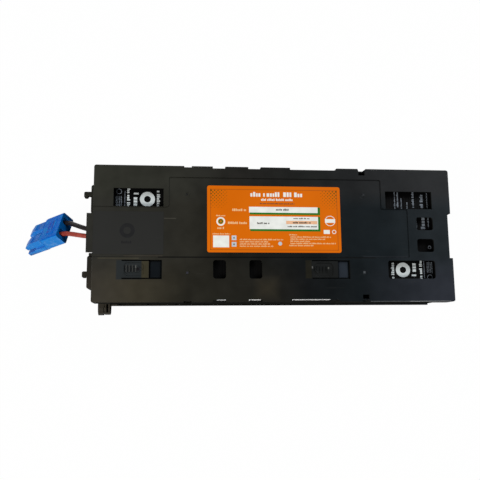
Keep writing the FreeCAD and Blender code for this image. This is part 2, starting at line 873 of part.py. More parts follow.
def edge_notch(points, side):
    """A bite through the plate and skirt, from points given on the +Y edge."""
    return prism([(x, side * y) for x, y in points], skirt_low - cut_past, cover_top + cut_past)


def edge_notches(side):
    """The bites in a long edge, from the plug end to the far end."""
    out = cover_y + cut_past
    bites = [(-gap_centre, small_notch_length, small_notch_depth)]
    bites += [(x, slot_length, slot_notch_depth) for x in slot_middles()]
    notches = []
    for x, length, depth in bites:
        notches.append(edge_notch([(x - length / 2, out), (x - length / 2, cover_y - depth),
                                   (x + length / 2, cover_y - depth), (x + length / 2, out)], side))
    start = block_middle(long_notch_block) + long_notch_start
    end = block_middle(long_notch_block) + long_notch_end
    bed = cover_y - long_notch_depth
    notches.append(edge_notch([(start, out), (start, bed), (end - long_notch_slope, bed), (end, cover_y),
                               (end, out)], side))
    start = gap_centre + hook_notch_start
    end = gap_centre + hook_notch_end
    hole = gap_centre + hook_hole_start
    hole_end = hole + hook_hole_length
    bed = cover_y - hook_notch_depth
    notches.append(edge_notch([(start, out), (start, cover_y), (hole, bed),
                               (hole_end - hook_notch_slope, bed), (end, cover_y), (end, out)], side))
    y0, y1 = span(side * (cover_y - hook_hole_depth), side * bed)
    notches.append(block(hole, hole_end, y0, y1, tray_top, cover_top + cut_past))
    return notches


def snap_window(x, side):
    y0, y1 = span(side * (cover_y - skirt_wall - shell_fit), side * (cover_y + cut_past))
    return block(x - snap_width / 2, x + snap_width / 2, y0, y1,
                 snap_z - snap_height / 2, snap_z + snap_height / 2)


def plate_level(x, y):
    """The cover's outer level over a point."""
    in_bed = recess_left < x < recess_step_right and recess_low < y < recess_high
    return recess_floor if in_bed else cover_top


def hold_down_ribs():
    low = block_high + block_label_thickness + hold_rib_gap
    y0 = -(terminal_y - lead_radius - hold_rib_lead_gap)
    y1 = tray_in_y - hold_rib_wall_gap
    ribs = []
    for index, offset in hold_rib_places:
        x = block_middle(index) + offset
        ribs.append(block(x - hold_rib_thickness / 2, x + hold_rib_thickness / 2, y0, y1,
                          low, plate_under + joint_overlap))
    return ribs


def make_cover():
    solid = cover_shell().cut(cover_windows())
    for side in (-1, 1):
        solid = solid.cut(edge_notches(side) + [snap_window(sx * gap_centre, side) for sx in (-1, 1)])
    lead_slot = block(-cover_x - cut_past, -cover_x + skirt_wall + cut_past, -lead_slot_width / 2,
                      lead_slot_width / 2, skirt_low - cut_past, recess_under)
    end_recess_low = end_recess_offset - end_recess_width / 2
    end_recess = rounded_block(cover_x - end_recess_depth, cover_x + corner_radius, end_recess_low,
                               end_recess_low + end_recess_width, skirt_low - cut_past,
                               cover_top + cut_past, end_recess_radius)
    solid = solid.cut([lead_slot, end_recess])
    additions = hold_down_ribs()
    for left in tongue_pockets():
        additions += [snap_tongue(left), catch_pad(left)]
    bores = []
    for x, y in post_places:
        level = plate_level(x, y)
        under = level - cover_plate
        additions.append(sided_post(socket_bore + socket_wall, under + joint_overlap - socket_low,
                                    V(x, y, socket_low)))
        bores.append(sided_post(socket_bore, under - socket_low + cut_past, V(x, y, socket_low - cut_past)))
        bores.append(cylinder(dimple_radius, dimple_depth + cut_past, V(x, y, level - dimple_depth)))
    return solid.fuse(additions).cut(bores).removeSplitter()


def make_label(left, low, length, width, radius):
    """A thin film on the floor of the bed."""
    return rounded_block(left, left + length, low, low + width,
                         recess_floor, recess_floor + label_thickness, radius)


parts["top_cover"] = make_cover()
parts["rating_label"] = make_label(recess_left + rating_label_from_left,
                                   recess_low + rating_label_from_bottom,
                                   rating_label_length, rating_label_width, rating_label_radius)
parts["end_sticker"] = make_label(-cover_x + end_sticker_inset, end_sticker_low,
                                  end_sticker_length, end_sticker_width, end_sticker_radius)


# ---------------------------------------------------------------- plug
# The plug is drawn in its own frame (x to the mouth, y towards the red pole, z up through
# its ribbed face) and then placed.

plug_rear_centre = V(exit_x + plug_from_exit.x, plug_from_exit.y, plug_from_exit.z)
nose = V(plug_nose).normalize()
across = (plug_across - nose * plug_across.dot(nose)).normalize()
up = nose.cross(across)
plug_matrix = FreeCAD.Matrix(nose.x, across.x, up.x, plug_rear_centre.x,
                             nose.y, across.y, up.y, plug_rear_centre.y,
                             nose.z, across.z, up.z, plug_rear_centre.z,
                             0, 0, 0, 1)
half_width = plug_width / 2
half_height = plug_height / 2


def place_on_plug(shape):
    placed = shape.copy()
    placed.transformShape(plug_matrix)
    return placed


def plug_body():
    """The closed rear half: rounded along its long edges, its shoulders cut back to the hoods."""
    body = block(0, plug_body_length, -half_width, half_width, -half_height, half_height)
    long_edges = edges_where(body, lambda c: near(abs(c.y), half_width) and near(abs(c.z), half_height))
    body = body.makeFillet(plug_edge_round, long_edges)
    inner = half_width - hood_inset
    out = half_width + cut_past
    past = plug_body_length + cut_past
    corner = [(plug_body_length - plug_shoulder, out), (past, out), (past, inner),
              (plug_body_length, inner)]
    for side in (-1, 1):
        ring = [(x, side * y) for x, y in corner]
        body = body.cut(prism(ring, hood_low, half_height + cut_past))
    pad_y = plug_pad_width / 2
    pad = rounded_block(plug_pad_start, plug_pad_start + plug_pad_length, -pad_y, pad_y,
                        half_height - joint_overlap, half_height + plug_pad_height, plug_pad_radius)
    return body.fuse(pad)


def plug_hood(side):
    """The sloping cover over one contact, with its grip ribs."""
    root = plug_body_length - tine_root
    end = plug_length - hood_end_drop
    top = half_height - hood_drop
    y0, y1 = span(side * tine_gap / 2, side * (half_width - hood_inset))
    hood = rounded_block(root, end, y0, y1, hood_low, top, hood_radius)
    past = plug_length + cut_past
    slope_ring = [V(past - hood_slope_length, -half_width, half_height), V(past, -half_width, half_height),
                  V(past, -half_width, half_height - hood_slope_drop)]
    slope = swept(slope_ring, V(0, plug_width, 0))
    ridges = []
    for i in range(grip_rib_count):
        x = plug_body_length + grip_rib_start + i * grip_rib_pitch
        ridges.append(block(x, x + grip_rib_width, y0 + grip_rib_margin, y1 - grip_rib_margin,
                            top, top + grip_rib_height))
    return hood.fuse(ridges).cut(slope)


def plug_lower(side):
    """The side tongue, the shelf under the contact and the spine that joins them to the hood."""
    root = plug_body_length - tine_root
    shelf_top = hood_low - shelf_slot
    outer = half_width - tongue_side_step
    y0, y1 = span(side * (outer - tongue_side_width), side * outer)
    tongue = block(root, plug_length, y0, y1, -half_height, -half_height + tongue_side_height)
    y0, y1 = span(side * tine_gap / 2, side * outer)
    shelf = block(root, plug_length - shelf_end_drop, y0, y1, -half_height, shelf_top)
    y0, y1 = span(side * tine_gap / 2, side * (half_width - hood_inset))
    spine = block(root, plug_length - spine_end_drop, y0, y1,
                  shelf_top - joint_overlap, hood_low + joint_overlap)
    return [tongue, shelf, spine]


def make_plug_housing():
    web_y = tine_gap / 2 + joint_overlap
    web = block(plug_body_length - tine_root, plug_body_length + web_length, -web_y, web_y,
                -half_height + web_bottom_drop, half_height - web_top_drop)
    solid = plug_body().fuse([plug_hood(-1), plug_hood(1), web] + plug_lower(-1) + plug_lower(1))
    along = V(1, 0, 0)
    for side in (-1, 1):
        y = side * plug_pole_spacing / 2
        hole = cylinder(plug_hole_radius, plug_hole_depth + cut_past, V(-cut_past, y, 0), along)
        scoop = cylinder(plug_hole_radius + plug_scoop_clearance, plug_hole_scoop + cut_past,
                         V(-cut_past, y, plug_scoop_rise), along)
        slot_y = contact_width / 2 + contact_fit
        slot_high = contact_low + contact_thickness + spring_gap + spring_thickness + contact_fit
        slot = block(plug_hole_depth - cut_past, plug_length - contact_end_drop + contact_fit,
                     y - slot_y, y + slot_y, contact_low - contact_fit, slot_high)
        solid = solid.cut([hole, scoop, slot])
    return solid.removeSplitter()


def make_contact(side):
    """A silver-plated contact: a crimp barrel round the lead's end and a flat tongue."""
    y = side * plug_pole_spacing / 2
    high = contact_low + contact_thickness
    barrel = cylinder(plug_hole_radius - barrel_fit, plug_hole_depth - plug_lead_depth - barrel_end_gap,
                      V(plug_lead_depth, y, 0), V(1, 0, 0))
    root = block(plug_lead_depth + joint_overlap, plug_hole_depth, y - contact_root_width / 2,
                 y + contact_root_width / 2, contact_low, high)
    tongue = block(plug_hole_depth - barrel_end_gap, plug_length - contact_end_drop, y - contact_width / 2,
                   y + contact_width / 2, contact_low, high)
    return barrel.fuse([root, tongue]).removeSplitter()


def make_spring(side):
    """The leaf spring that presses the contact from behind."""
    y = side * plug_pole_spacing / 2
    low = contact_low + contact_thickness + spring_gap
    return block(plug_hole_depth, plug_length - spring_end_drop, y - spring_width / 2, y + spring_width / 2,
                 low, low + spring_thickness)


parts["plug_housing"] = place_on_plug(make_plug_housing())
for pole, side in (("red", 1), ("black", -1)):
    parts["plug_contact_" + pole] = place_on_plug(make_contact(side))
    parts["plug_spring_" + pole] = place_on_plug(make_spring(side))


# ---------------------------------------------------------------- free leads
# Each leaves the case level, drops towards the plug and ends at the crimp barrel in its hole.

def plug_point(along, side):
    return plug_rear_centre + nose * along + across * side


pole_y = plug_pole_spacing / 2
lead_routes = {
    "lead_black": [V(exit_x, black_exit, lead_z), V(exit_x - 10.0, black_exit, lead_z),
                   V(exit_x - 20.5, 6.2, 68.2), V(exit_x - 33.0, 11.9, 58.2),
                   plug_point(-1.0, -pole_y), plug_point(plug_lead_depth, -pole_y)],
    "lead_red": [V(exit_x, red_exit, lead_z), V(exit_x - 10.0, red_exit, lead_z),
                 V(exit_x - 21.5, -2.8, 70.0), V(exit_x - 35.0, 0.3, 63.2),
                 plug_point(-1.0, pole_y), plug_point(plug_lead_depth, pole_y)],
}
for name, points in lead_routes.items():
    radii = widest_radii(points)
    parts[name], section, length = tube(points, radii)
    print(name, "length %.1f" % length,
          "volume / (section x length) %.4f" % (parts[name].Volume / section / length))
    print("  radii", [round(r, 1) for r in radii])
    print("  points", [tuple(round(c, 2) for c in p) for p in points])

# ---------------------------------------------------------------- write the files
os.makedirs("parts", exist_ok=True)
for name, shape in parts.items():
    if not shape.isValid():
        print("NOT VALID", name)
    shape.exportStep("parts/%s.step" % name)
print(len(parts), "nodes, cover %.1f x %.1f, height %.1f" % (2 * cover_x, 2 * cover_y, cover_top))
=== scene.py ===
# %% [markdown]
# # A battery cartridge for a rack UPS
# The cartridge is a flat black moulded case round four sealed batteries. An orange
# rating label lies in a sunk bed on top, dark battery films show through the windows,
# and a blue two-pole plug hangs from one end on a red and a black lead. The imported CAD
# model is loaded first. All that follows is in its frame, in metres, and the print on
# the label and on the battery films is placed by the boxes of those pieces.

# %% Load the frame and measure it
import bmesh
import bpy
import math
import random
from mathutils import Euler, Matrix, Vector
from mathutils.bvhtree import BVHTree


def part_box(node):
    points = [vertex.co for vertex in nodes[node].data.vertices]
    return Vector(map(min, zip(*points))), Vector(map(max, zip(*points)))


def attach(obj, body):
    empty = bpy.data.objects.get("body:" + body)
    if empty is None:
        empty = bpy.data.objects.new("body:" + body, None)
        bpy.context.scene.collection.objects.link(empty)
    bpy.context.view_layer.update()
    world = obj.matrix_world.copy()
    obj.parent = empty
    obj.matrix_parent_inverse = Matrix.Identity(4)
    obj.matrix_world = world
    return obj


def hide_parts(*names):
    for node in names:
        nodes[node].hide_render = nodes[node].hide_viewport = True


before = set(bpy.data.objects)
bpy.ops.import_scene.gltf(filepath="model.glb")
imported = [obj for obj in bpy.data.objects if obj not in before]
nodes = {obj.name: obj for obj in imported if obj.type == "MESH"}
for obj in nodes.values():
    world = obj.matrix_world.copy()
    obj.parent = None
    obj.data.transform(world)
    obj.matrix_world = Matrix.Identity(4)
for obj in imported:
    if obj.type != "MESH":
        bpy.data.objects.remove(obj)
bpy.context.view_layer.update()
MM = 0.001

# %% [markdown]
# ## The camera
# The camera stands almost straight above the case, a little towards its plug end and
# its lower long side, with a fairly long lens. A camera that isn't turned looks straight
# down its own -Z axis, so a few degrees about X and Y aim it. A Track To constraint
# would aim it too, but plain angles also hold the small roll.

# %% Camera
LENS = 48.0
SENSOR = 36.0
CAMERA_PLACE = (-0.1152, -0.1244, 0.811)
CAMERA_TURN = (9.049, -5.505, -0.533)


def new_object(name, data):
    """A new object in the scene, from a mesh, a curve, a light or a camera."""
    thing = bpy.data.objects.new(name, data)
    bpy.context.scene.collection.objects.link(thing)
    return thing


def make_camera():
    data = bpy.data.cameras.new("camera")
    data.lens = LENS
    data.sensor_width = SENSOR
    data.clip_end = 20.0
    camera = new_object("camera", data)
    camera.location = CAMERA_PLACE
    camera.rotation_euler = Euler([math.radians(angle) for angle in CAMERA_TURN], "XYZ")
    bpy.context.scene.camera = camera
    bpy.context.scene.view_settings.view_transform = "Standard"


make_camera()
print("camera at", CAMERA_PLACE, "turned", CAMERA_TURN, "degrees")

# %% [markdown]
# ## Writing node trees
# Every finish here is a small tree of shader nodes. Built by hand each node takes three
# or four lines, so a few helpers make a node and wire it in one. An input given as a
# socket is linked, and any other input is typed in.

# %% Node helpers


def feed(tree, socket, value):
    """Links or sets one input."""
    if isinstance(value, bpy.types.NodeSocket):
        tree.links.new(value, socket)
    else:
        socket.default_value = value


def node_of(tree, kind, **inputs):
    """A new shader node whose named sockets are set or linked."""
    node = tree.nodes.new(kind)
    for name, value in inputs.items():
        feed(tree, node.inputs[name.replace("_", " ")], value)
    return node


def math_node(tree, operation, first, second=0.0, clamp=False):
    node = tree.nodes.new("ShaderNodeMath")
    node.operation = operation
    node.use_clamp = clamp
    feed(tree, node.inputs[0], first)
    feed(tree, node.inputs[1], second)
    return node.outputs[0]


def map_range(tree, value, from_low, from_high, to_low, to_high):
    node = node_of(tree, "ShaderNodeMapRange", Value=value, From_Min=from_low, From_Max=from_high,
                   To_Min=to_low, To_Max=to_high)
    return node.outputs[0]


def fade(tree, value, start, end):
    """A mask that is 0 at start and 1 at end."""
    return map_range(tree, value, start, end, 0.0, 1.0)


# %% [markdown]
# ## Floor
# The floor is pure white to the camera and to mirror rays, and an ordinary pale surface
# to all other rays, so that it still takes a soft shadow. A bright lamp on a white floor
# would do the same, but it would bleach the label. The floor lies a hair under the case
# and is clear from below, so the underside of the case can be looked at.

# %% Floor
FLOOR_SIZE = 6.0
FLOOR_GAP = 0.1 * MM
FLOOR_WHITE = 0.985


def floor_material():
    material = bpy.data.materials.new("floor_white")
    material.use_nodes = True
    tree = material.node_tree
    tree.nodes.clear()
    path = tree.nodes.new("ShaderNodeLightPath").outputs
    seen = math_node(tree, "MAXIMUM", path["Is Camera Ray"], path["Is Glossy Ray"])
    seen = math_node(tree, "MAXIMUM", seen, path["Is Transmission Ray"])
    pale = node_of(tree, "ShaderNodeBsdfDiffuse", Color=(0.8, 0.8, 0.8, 1))
    bright = node_of(tree, "ShaderNodeEmission", Color=(1, 1, 1, 1), Strength=1.0)
    from_above = node_of(tree, "ShaderNodeMixShader", Fac=math_node(tree, "MULTIPLY", seen, FLOOR_WHITE))
    tree.links.new(pale.outputs[0], from_above.inputs[1])
    tree.links.new(bright.outputs[0], from_above.inputs[2])
    below = tree.nodes.new("ShaderNodeNewGeometry").outputs["Backfacing"]
    both = node_of(tree, "ShaderNodeMixShader", Fac=below)
    tree.links.new(from_above.outputs[0], both.inputs[1])
    tree.links.new(tree.nodes.new("ShaderNodeBsdfTransparent").outputs[0], both.inputs[2])
    node_of(tree, "ShaderNodeOutputMaterial", Surface=both.outputs[0])
    return material


def make_floor():
    bm = bmesh.new()
    bmesh.ops.create_grid(bm, x_segments=1, y_segments=1, size=FLOOR_SIZE / 2,
                          matrix=Matrix.Translation((0, 0, -FLOOR_GAP)))
    mesh = bpy.data.meshes.new("floor")
    bm.to_mesh(mesh)
    bm.free()
    mesh.materials.append(floor_material())
    floor = new_object("floor", mesh)


make_floor()
print("floor", FLOOR_SIZE, "m wide")

# %% [markdown]
# ## Light
# The world is a dim grey dome, white where the camera sees it. Two broad lamps, a warm
# one at the plug end and a cooler one past the far corner, do the rest. Wide lamps give
# soft shadows. They stand outside the angle at which the flat top would mirror them, so
# the black plastic stays black.

# %% World and lamps
DOME_STRENGTH = 0.22
LAMP_TARGET = Vector((0, 0, 0.05))


def make_world():
    world = bpy.data.worlds.new("dome")
    bpy.context.scene.world = world
    world.use_nodes = True
    tree = world.node_tree
    seen = tree.nodes.new("ShaderNodeLightPath").outputs["Is Camera Ray"]
    level = math_node(tree, "MULTIPLY", seen, 1.0 - DOME_STRENGTH)
    background = tree.nodes["Background"]
    background.inputs["Color"].default_value = (1, 1, 1, 1)
    tree.links.new(math_node(tree, "ADD", level, DOME_STRENGTH), background.inputs["Strength"])


def make_lamp(name, place, width, watts, tint):
    data = bpy.data.lights.new(name, "AREA")
    data.shape = "RECTANGLE"
    data.size = data.size_y = width
    data.energy = watts
    data.color = tint
    lamp = new_object(name, data)
    lamp.location = place
    lamp.rotation_euler = (LAMP_TARGET - Vector(place)).to_track_quat("-Z", "Y").to_euler()
    print(name, "at", place, watts, "W")


make_world()
make_lamp("lamp_left", (-1.25, -0.95, 1.7), 0.8, 31.0, (1.0, 0.96, 0.90))
make_lamp("lamp_right", (1.3, 1.4, 1.6), 1.2, 36.0, (0.94, 0.98, 1.0))

# %% [markdown]
# ## Effects that several finishes share
# Moulded plastic has a fine spark-eroded grain, and its tone drifts a little over a
# long part. Handled surfaces carry faint scuffs. The case also gets painted light and
# shade in small places, so a third effect is a soft-edged patch. Each is a node group
# that puts out plain values: one group, placed in each material with its own numbers,
# keeps all the finishes alike and is mended in one place.

# %% Node groups


def new_group(name, inputs, outputs):
    """A node group with float inputs (name, default) and named float outputs."""
    group = bpy.data.node_groups.new(name, "ShaderNodeTree")
    for label, default in inputs:
        socket = group.interface.new_socket(label, in_out="INPUT", socket_type="NodeSocketFloat")
        socket.default_value = default
    for label in outputs:
        group.interface.new_socket(label, in_out="OUTPUT", socket_type="NodeSocketFloat")
    given = group.nodes.new("NodeGroupInput").outputs
    out = group.nodes.new("NodeGroupOutput").inputs
    place = group.nodes.new("ShaderNodeTexCoord").outputs["Object"]
    return group, given, out, place


def moulded_grain_group():
    """Grain: a fine bumpy height. Tone: a slow drift from 0 to 1 over the part."""
    inputs = [("Grain per metre", 2600.0), ("Drift per metre", 9.0)]
    group, given, out, place = new_group("moulded_grain", inputs, ["Grain", "Tone"])
    fine = node_of(group, "ShaderNodeTexNoise", Vector=place, Scale=given["Grain per metre"], Detail=3.0)
    slow = node_of(group, "ShaderNodeTexNoise", Vector=place, Scale=given["Drift per metre"], Detail=2.0)
    group.links.new(fine.outputs["Fac"], out["Grain"])
    group.links.new(slow.outputs["Fac"], out["Tone"])
    return group


def scuff_group():
    """Thin pale scratches inside rubbed spots, as a mask from 0 to 1."""
    group, given, out, place = new_group("handling_scuffs", [("Amount", 0.5)], ["Scuffs"])
    stretched = node_of(group, "ShaderNodeMapping", Vector=place, Rotation=(0.3, 0.2, 0.6),
                        Scale=(30.0, 900.0, 30.0)).outputs[0]
    streaks = node_of(group, "ShaderNodeTexNoise", Vector=stretched, Scale=1.0, Detail=2.0)
    spots = node_of(group, "ShaderNodeTexNoise", Vector=place, Scale=55.0, Detail=4.0)
    both = math_node(group, "MULTIPLY", fade(group, streaks.outputs["Fac"], 0.64, 0.74),
                     fade(group, spots.outputs["Fac"], 0.5, 0.75))
    group.links.new(math_node(group, "MULTIPLY", both, given["Amount"]), out["Scuffs"])
    return group


def patch_group():
    """A soft-edged rectangle seen from above, as a mask from 0 to 1."""
    inputs = [("Centre X", 0.0), ("Centre Y", 0.0), ("Half X", 0.01), ("Half Y", 0.01), ("Soft", 0.001)]
    group, given, out, place = new_group("patch", inputs, ["Mask"])
    along = node_of(group, "ShaderNodeSeparateXYZ", Vector=place).outputs
    reach = []
    for axis in ("X", "Y"):
        away = math_node(group, "SUBTRACT", along[axis], given["Centre " + axis])
        away = math_node(group, "ABSOLUTE", away)
        reach.append(math_node(group, "SUBTRACT", away, given["Half " + axis]))
    outside = math_node(group, "DIVIDE", math_node(group, "MAXIMUM", *reach), given["Soft"])
    group.links.new(math_node(group, "SUBTRACT", 0.5, outside, clamp=True), out["Mask"])
    return group


GRAIN = moulded_grain_group()
SCUFFS = scuff_group()
PATCH = patch_group()
print("groups", [group.name for group in (GRAIN, SCUFFS, PATCH)])

# %% [markdown]
# ## Building a finish
# Nearly every finish is made the same way: a colour that drifts between two close
# tones, a roughness that drifts with it, and a fine bump. The helpers below are those
# steps. A colour ramp turns a mask into a colour, and a mix lays one colour over
# another by a mask, as paint does. The first finish made so is that of the case's
# upright walls, which keep the deep grain of the mould and are far duller than the top.

# %% Finish helpers


def new_material(name):
    material = bpy.data.materials.new(name)
    material.use_nodes = True
    return material, material.node_tree, material.node_tree.nodes["Principled BSDF"]


def use_group(tree, group, **inputs):
    node = tree.nodes.new("ShaderNodeGroup")
    node.node_tree = group
    for name, value in inputs.items():
        node.inputs[name.replace("_", " ")].default_value = value
    return node.outputs


def tone_ramp(tree, factor, tones):
    """A colour ramp through tones, each given with its place from 0 to 1."""
    ramp = node_of(tree, "ShaderNodeValToRGB", Fac=factor)
    steps = ramp.color_ramp.elements
    steps[0].color = (*tones[0][1], 1)
    steps[1].color = (*tones[-1][1], 1)
    for at, tone in tones[1:-1]:
        steps.new(at).color = (*tone, 1)
    return ramp.outputs["Color"]


def two_tones(tree, factor, low, high):
    return tone_ramp(tree, factor, [(0.0, low), (1.0, high)])


def lay_over(tree, factor, under, over, kind="MIX"):
    """A colour laid over a colour socket by a mask. The upper colour is a socket or three numbers."""
    mix = tree.nodes.new("ShaderNodeMix")
    mix.data_type = "RGBA"
    mix.blend_type = kind
    feed(tree, mix.inputs["Factor"], factor)
    tree.links.new(under, mix.inputs[6])
    feed(tree, mix.inputs[7], over if isinstance(over, bpy.types.NodeSocket) else (*over, 1))
    return mix.outputs[2]


def drifting_tone(tree, drift, low, high):
    """A colour between two tones, by a slow noise whose middle is 0.5."""
    return two_tones(tree, fade(tree, drift, 0.35, 0.65), low, high)


def set_surface(tree, shader, colour, drift, rough, specular):
    """Colour, specular level, and a roughness between two values that follows a noise."""
    tree.links.new(colour, shader.inputs["Base Color"])
    tree.links.new(map_range(tree, drift, 0.3, 0.7, *rough), shader.inputs["Roughness"])
    shader.inputs["Specular IOR Level"].default_value = specular


def add_bump(tree, shader, height, depth):
    bump = node_of(tree, "ShaderNodeBump", Height=height, Distance=depth, Strength=1.0)
    tree.links.new(bump.outputs["Normal"], shader.inputs["Normal"])


def moulded_plastic(name, low, high, rough, grain_depth=0.04 * MM, grain_rate=2600.0, scuffs=0.4,
                    scuff_tone=2.2, specular=0.4):
    """A moulded plastic between two tones, with grain and scuffs."""
    material, tree, shader = new_material(name)
    grain = use_group(tree, GRAIN, Grain_per_metre=grain_rate)
    worn = use_group(tree, SCUFFS, Amount=scuffs)["Scuffs"]
    tone = drifting_tone(tree, grain["Tone"], low, high)
    rubbed = lay_over(tree, worn, tone, [min(1.0, c * scuff_tone) for c in high])
    set_surface(tree, shader, rubbed, grain["Tone"], (rough - 0.04, rough + 0.05), specular)
    add_bump(tree, shader, grain["Grain"], grain_depth)
    return material


case_wall = moulded_plastic("case_wall", (0.0110, 0.0112, 0.0104), (0.0160, 0.0162, 0.0154), 0.7,
                            scuffs=0.3, specular=0.0)
print("matte plastic of the upright walls:", case_wall.name)

# %% [markdown]
# ## Black ABS of the case
# The case is one batch of black ABS. Its colour carries painted reflections and shade: it
# shifts from a painted warm olive sheen near the plug to a cooler blue-black at the far
# end, and each level is painted as it takes the light. So three ramps run along the case,
# for the upper part, the sunk bed and the lower strip, and meet in soft steps across it.
# Small patches paint what a ramp can't: light and shade on the tongues, their ribs and
# catch pads, shade in the slots, highlights in the dimples, and lines of highlight and
# shade along edges. They act only high up, so none shows on the tray below.
# Painting an image map would be quicker, but it would tie the finish to one picture.

# %% Tones of the case
# Each tone of painted reflection and shade has its place along the case: 0 is the plug end and 1 the far
# end.
UPPER_PAINTED_LIGHT_TONES = [(0.0, (0.030, 0.031, 0.024)), (0.25, (0.024, 0.024, 0.019)), (0.40, (0.014, 0.013, 0.011)),
               (0.58, (0.009, 0.010, 0.009)), (0.72, (0.010, 0.011, 0.012)), (1.0, (0.017, 0.018, 0.020))]
BED_PAINTED_LIGHT_TONES = [(0.0, (0.025, 0.025, 0.021)), (0.25, (0.021, 0.020, 0.015)), (0.36, (0.010, 0.009, 0.006)),
             (0.62, (0.002, 0.0045, 0.006)), (0.83, (0.004, 0.008, 0.011)), (1.0, (0.012, 0.017, 0.021))]
LOWER_PAINTED_LIGHT_TONES = [(0.0, (0.041, 0.036, 0.027)), (0.10, (0.046, 0.040, 0.026)), (0.25, (0.017, 0.016, 0.011)),
               (0.50, (0.011, 0.0105, 0.008)), (0.60, (0.004, 0.005, 0.006)), (0.75, (0.004, 0.007, 0.009)),
               (1.0, (0.026, 0.030, 0.041))]
# Painted shade for the slots beside the tongues.
SLOT_PAINTED_SHADE = (0.0005, 0.0005, 0.0005)
# Each patch of painted light and shade: centre X and Y, half its length and width, how soft its edge is
# (mm), tone.
PAINTED_LIGHT_PATCHES = [
    # a painted warm sheen below the middle
    (-12.8, -64.0, 10.0, 9.0, 14.0, (0.027, 0.023, 0.015)),
    # painted light and shade on the tongue near the plug, the strip past its tip and its catch pad
    (-170.7, -42.9, 14.4, 11.0, 1.5, (0.019, 0.023, 0.025)),
    (-152.4, -42.8, 4.0, 11.0, 1.5, (0.045, 0.040, 0.023)),
    (-140.9, -42.6, 7.4, 10.8, 1.0, (0.0035, 0.006, 0.009)),
    # painted light and shade on the root of the far tongue, the tongue and its catch pad
    (36.7, -42.0, 3.6, 10.6, 1.5, (0.013, 0.012, 0.007)),
    (56.3, -41.7, 15.5, 10.5, 1.5, (0.009, 0.010, 0.010)),
    (78.4, -41.4, 5.6, 10.2, 1.0, (0.018, 0.024, 0.034)),
    # painted highlights and a painted shade line along the lower edge of the bed, and a painted highlight
    # beside the sticker
    (-183.0, -29.7, 23.0, 0.5, 0.8, (0.054, 0.049, 0.033)),
    (-155.0, -26.8, 22.0, 0.5, 0.8, (0.044, 0.038, 0.029)),
    (-10.0, -28.2, 128.0, 0.7, 0.8, (0.001, 0.001, 0.001)),
    (130.0, -26.8, 27.0, 0.5, 0.8, (0.015, 0.018, 0.023)),
    (-124.7, 17.2, 6.9, 0.5, 0.7, (0.055, 0.051, 0.042)),
    # painted shade in one and painted highlights in three of the four dimples over the terminal gaps
    (-105.2, 46.2, 1.0, 1.0, 1.0, (0.008, 0.008, 0.009)),
    (105.9, 48.1, 1.1, 1.1, 1.0, (0.030, 0.033, 0.038)),
    (-104.6, -46.2, 1.1, 1.1, 1.0, (0.038, 0.038, 0.055)),
    (103.3, -45.4, 1.3, 1.3, 1.0, (0.080, 0.090, 0.100)),
    # painted light in three notches, and a painted highlight on the lit edge beside them
    (39.1, -77.72, 22.4, 0.66, 0.1, (0.930, 0.940, 0.960)),
    (-65.4, -77.78, 5.2, 0.62, 0.1, (0.800, 0.820, 0.840)),
    (-26.9, -77.76, 6.9, 0.64, 0.1, (0.930, 0.940, 0.940)),
    (133.0, -79.70, 24.0, 0.40, 0.1, (0.110, 0.120, 0.130)),
    (182.0, -79.70, 25.0, 0.40, 0.1, (0.300, 0.315, 0.335)),
    # painted shade in the slots each side of the two tongues
    (-156.2, -32.6, 22.4, 0.35, 0.3, SLOT_PAINTED_SHADE),
    (-156.2, -53.2, 22.4, 0.35, 0.3, SLOT_PAINTED_SHADE),
    (63.0, -31.5, 22.0, 0.35, 0.3, SLOT_PAINTED_SHADE),
    (62.5, -52.2, 21.6, 0.35, 0.3, SLOT_PAINTED_SHADE),
]
# Finger ribs on the two tongues: painted shade in the grooves, painted highlights on the crests, and
# painted glints.
for x in (-175.6, -172.2, -168.5, -165.0):
    PAINTED_LIGHT_PATCHES.append((x, -41.6, 0.8, 3.5, 0.9, (0.005, 0.006, 0.007)))
    PAINTED_LIGHT_PATCHES.append((x + 1.8, -41.2, 0.6, 4.0, 0.8, (0.042, 0.043, 0.041)))
for x in (43.0, 46.3, 49.6, 53.2, 57.5):
    PAINTED_LIGHT_PATCHES.append((x, -41.4, 0.7, 3.0, 0.9, (0.002, 0.003, 0.003)))
# One painted shade spot and three painted glints.
PAINTED_LIGHT_PATCHES += [(-160.5, -42.0, 1.7, 1.8, 1.0, (0.009, 0.008, 0.010)),
            (-163.1, -39.3, 0.5, 1.6, 0.8, (0.110, 0.115, 0.110)),
            (41.2, -39.8, 0.6, 1.2, 0.9, (0.130, 0.130, 0.130)),
            (60.3, -40.5, 0.7, 1.0, 0.9, (0.100, 0.102, 0.096))]
print(len(PAINTED_LIGHT_PATCHES), "patches on the case")

# %% [markdown]
# ## Mixing the case plastic
# The tones above are laid down in order: the upper ramp, the bed and the lower strip of
# painted reflection and shade, the patches of painted light and shade, a slow darkening
# drift and the scuffs. Each layer is one mix node, so a layer can be taken out or changed
# without touching the rest.

# %% Case plastic
# Where each fade starts and ends (mm): along the case, twice across it, and up it.
TONES_RUN = (-203.7, 197.7)
BED_EDGE = (52.0, 32.0)
LOWER_EDGE = (-24.0, -58.0)
PAINTED_LIGHT_START = (60.0, 62.0)


def fade_mm(tree, value, ends):
    return fade(tree, value, ends[0] * MM, ends[1] * MM)


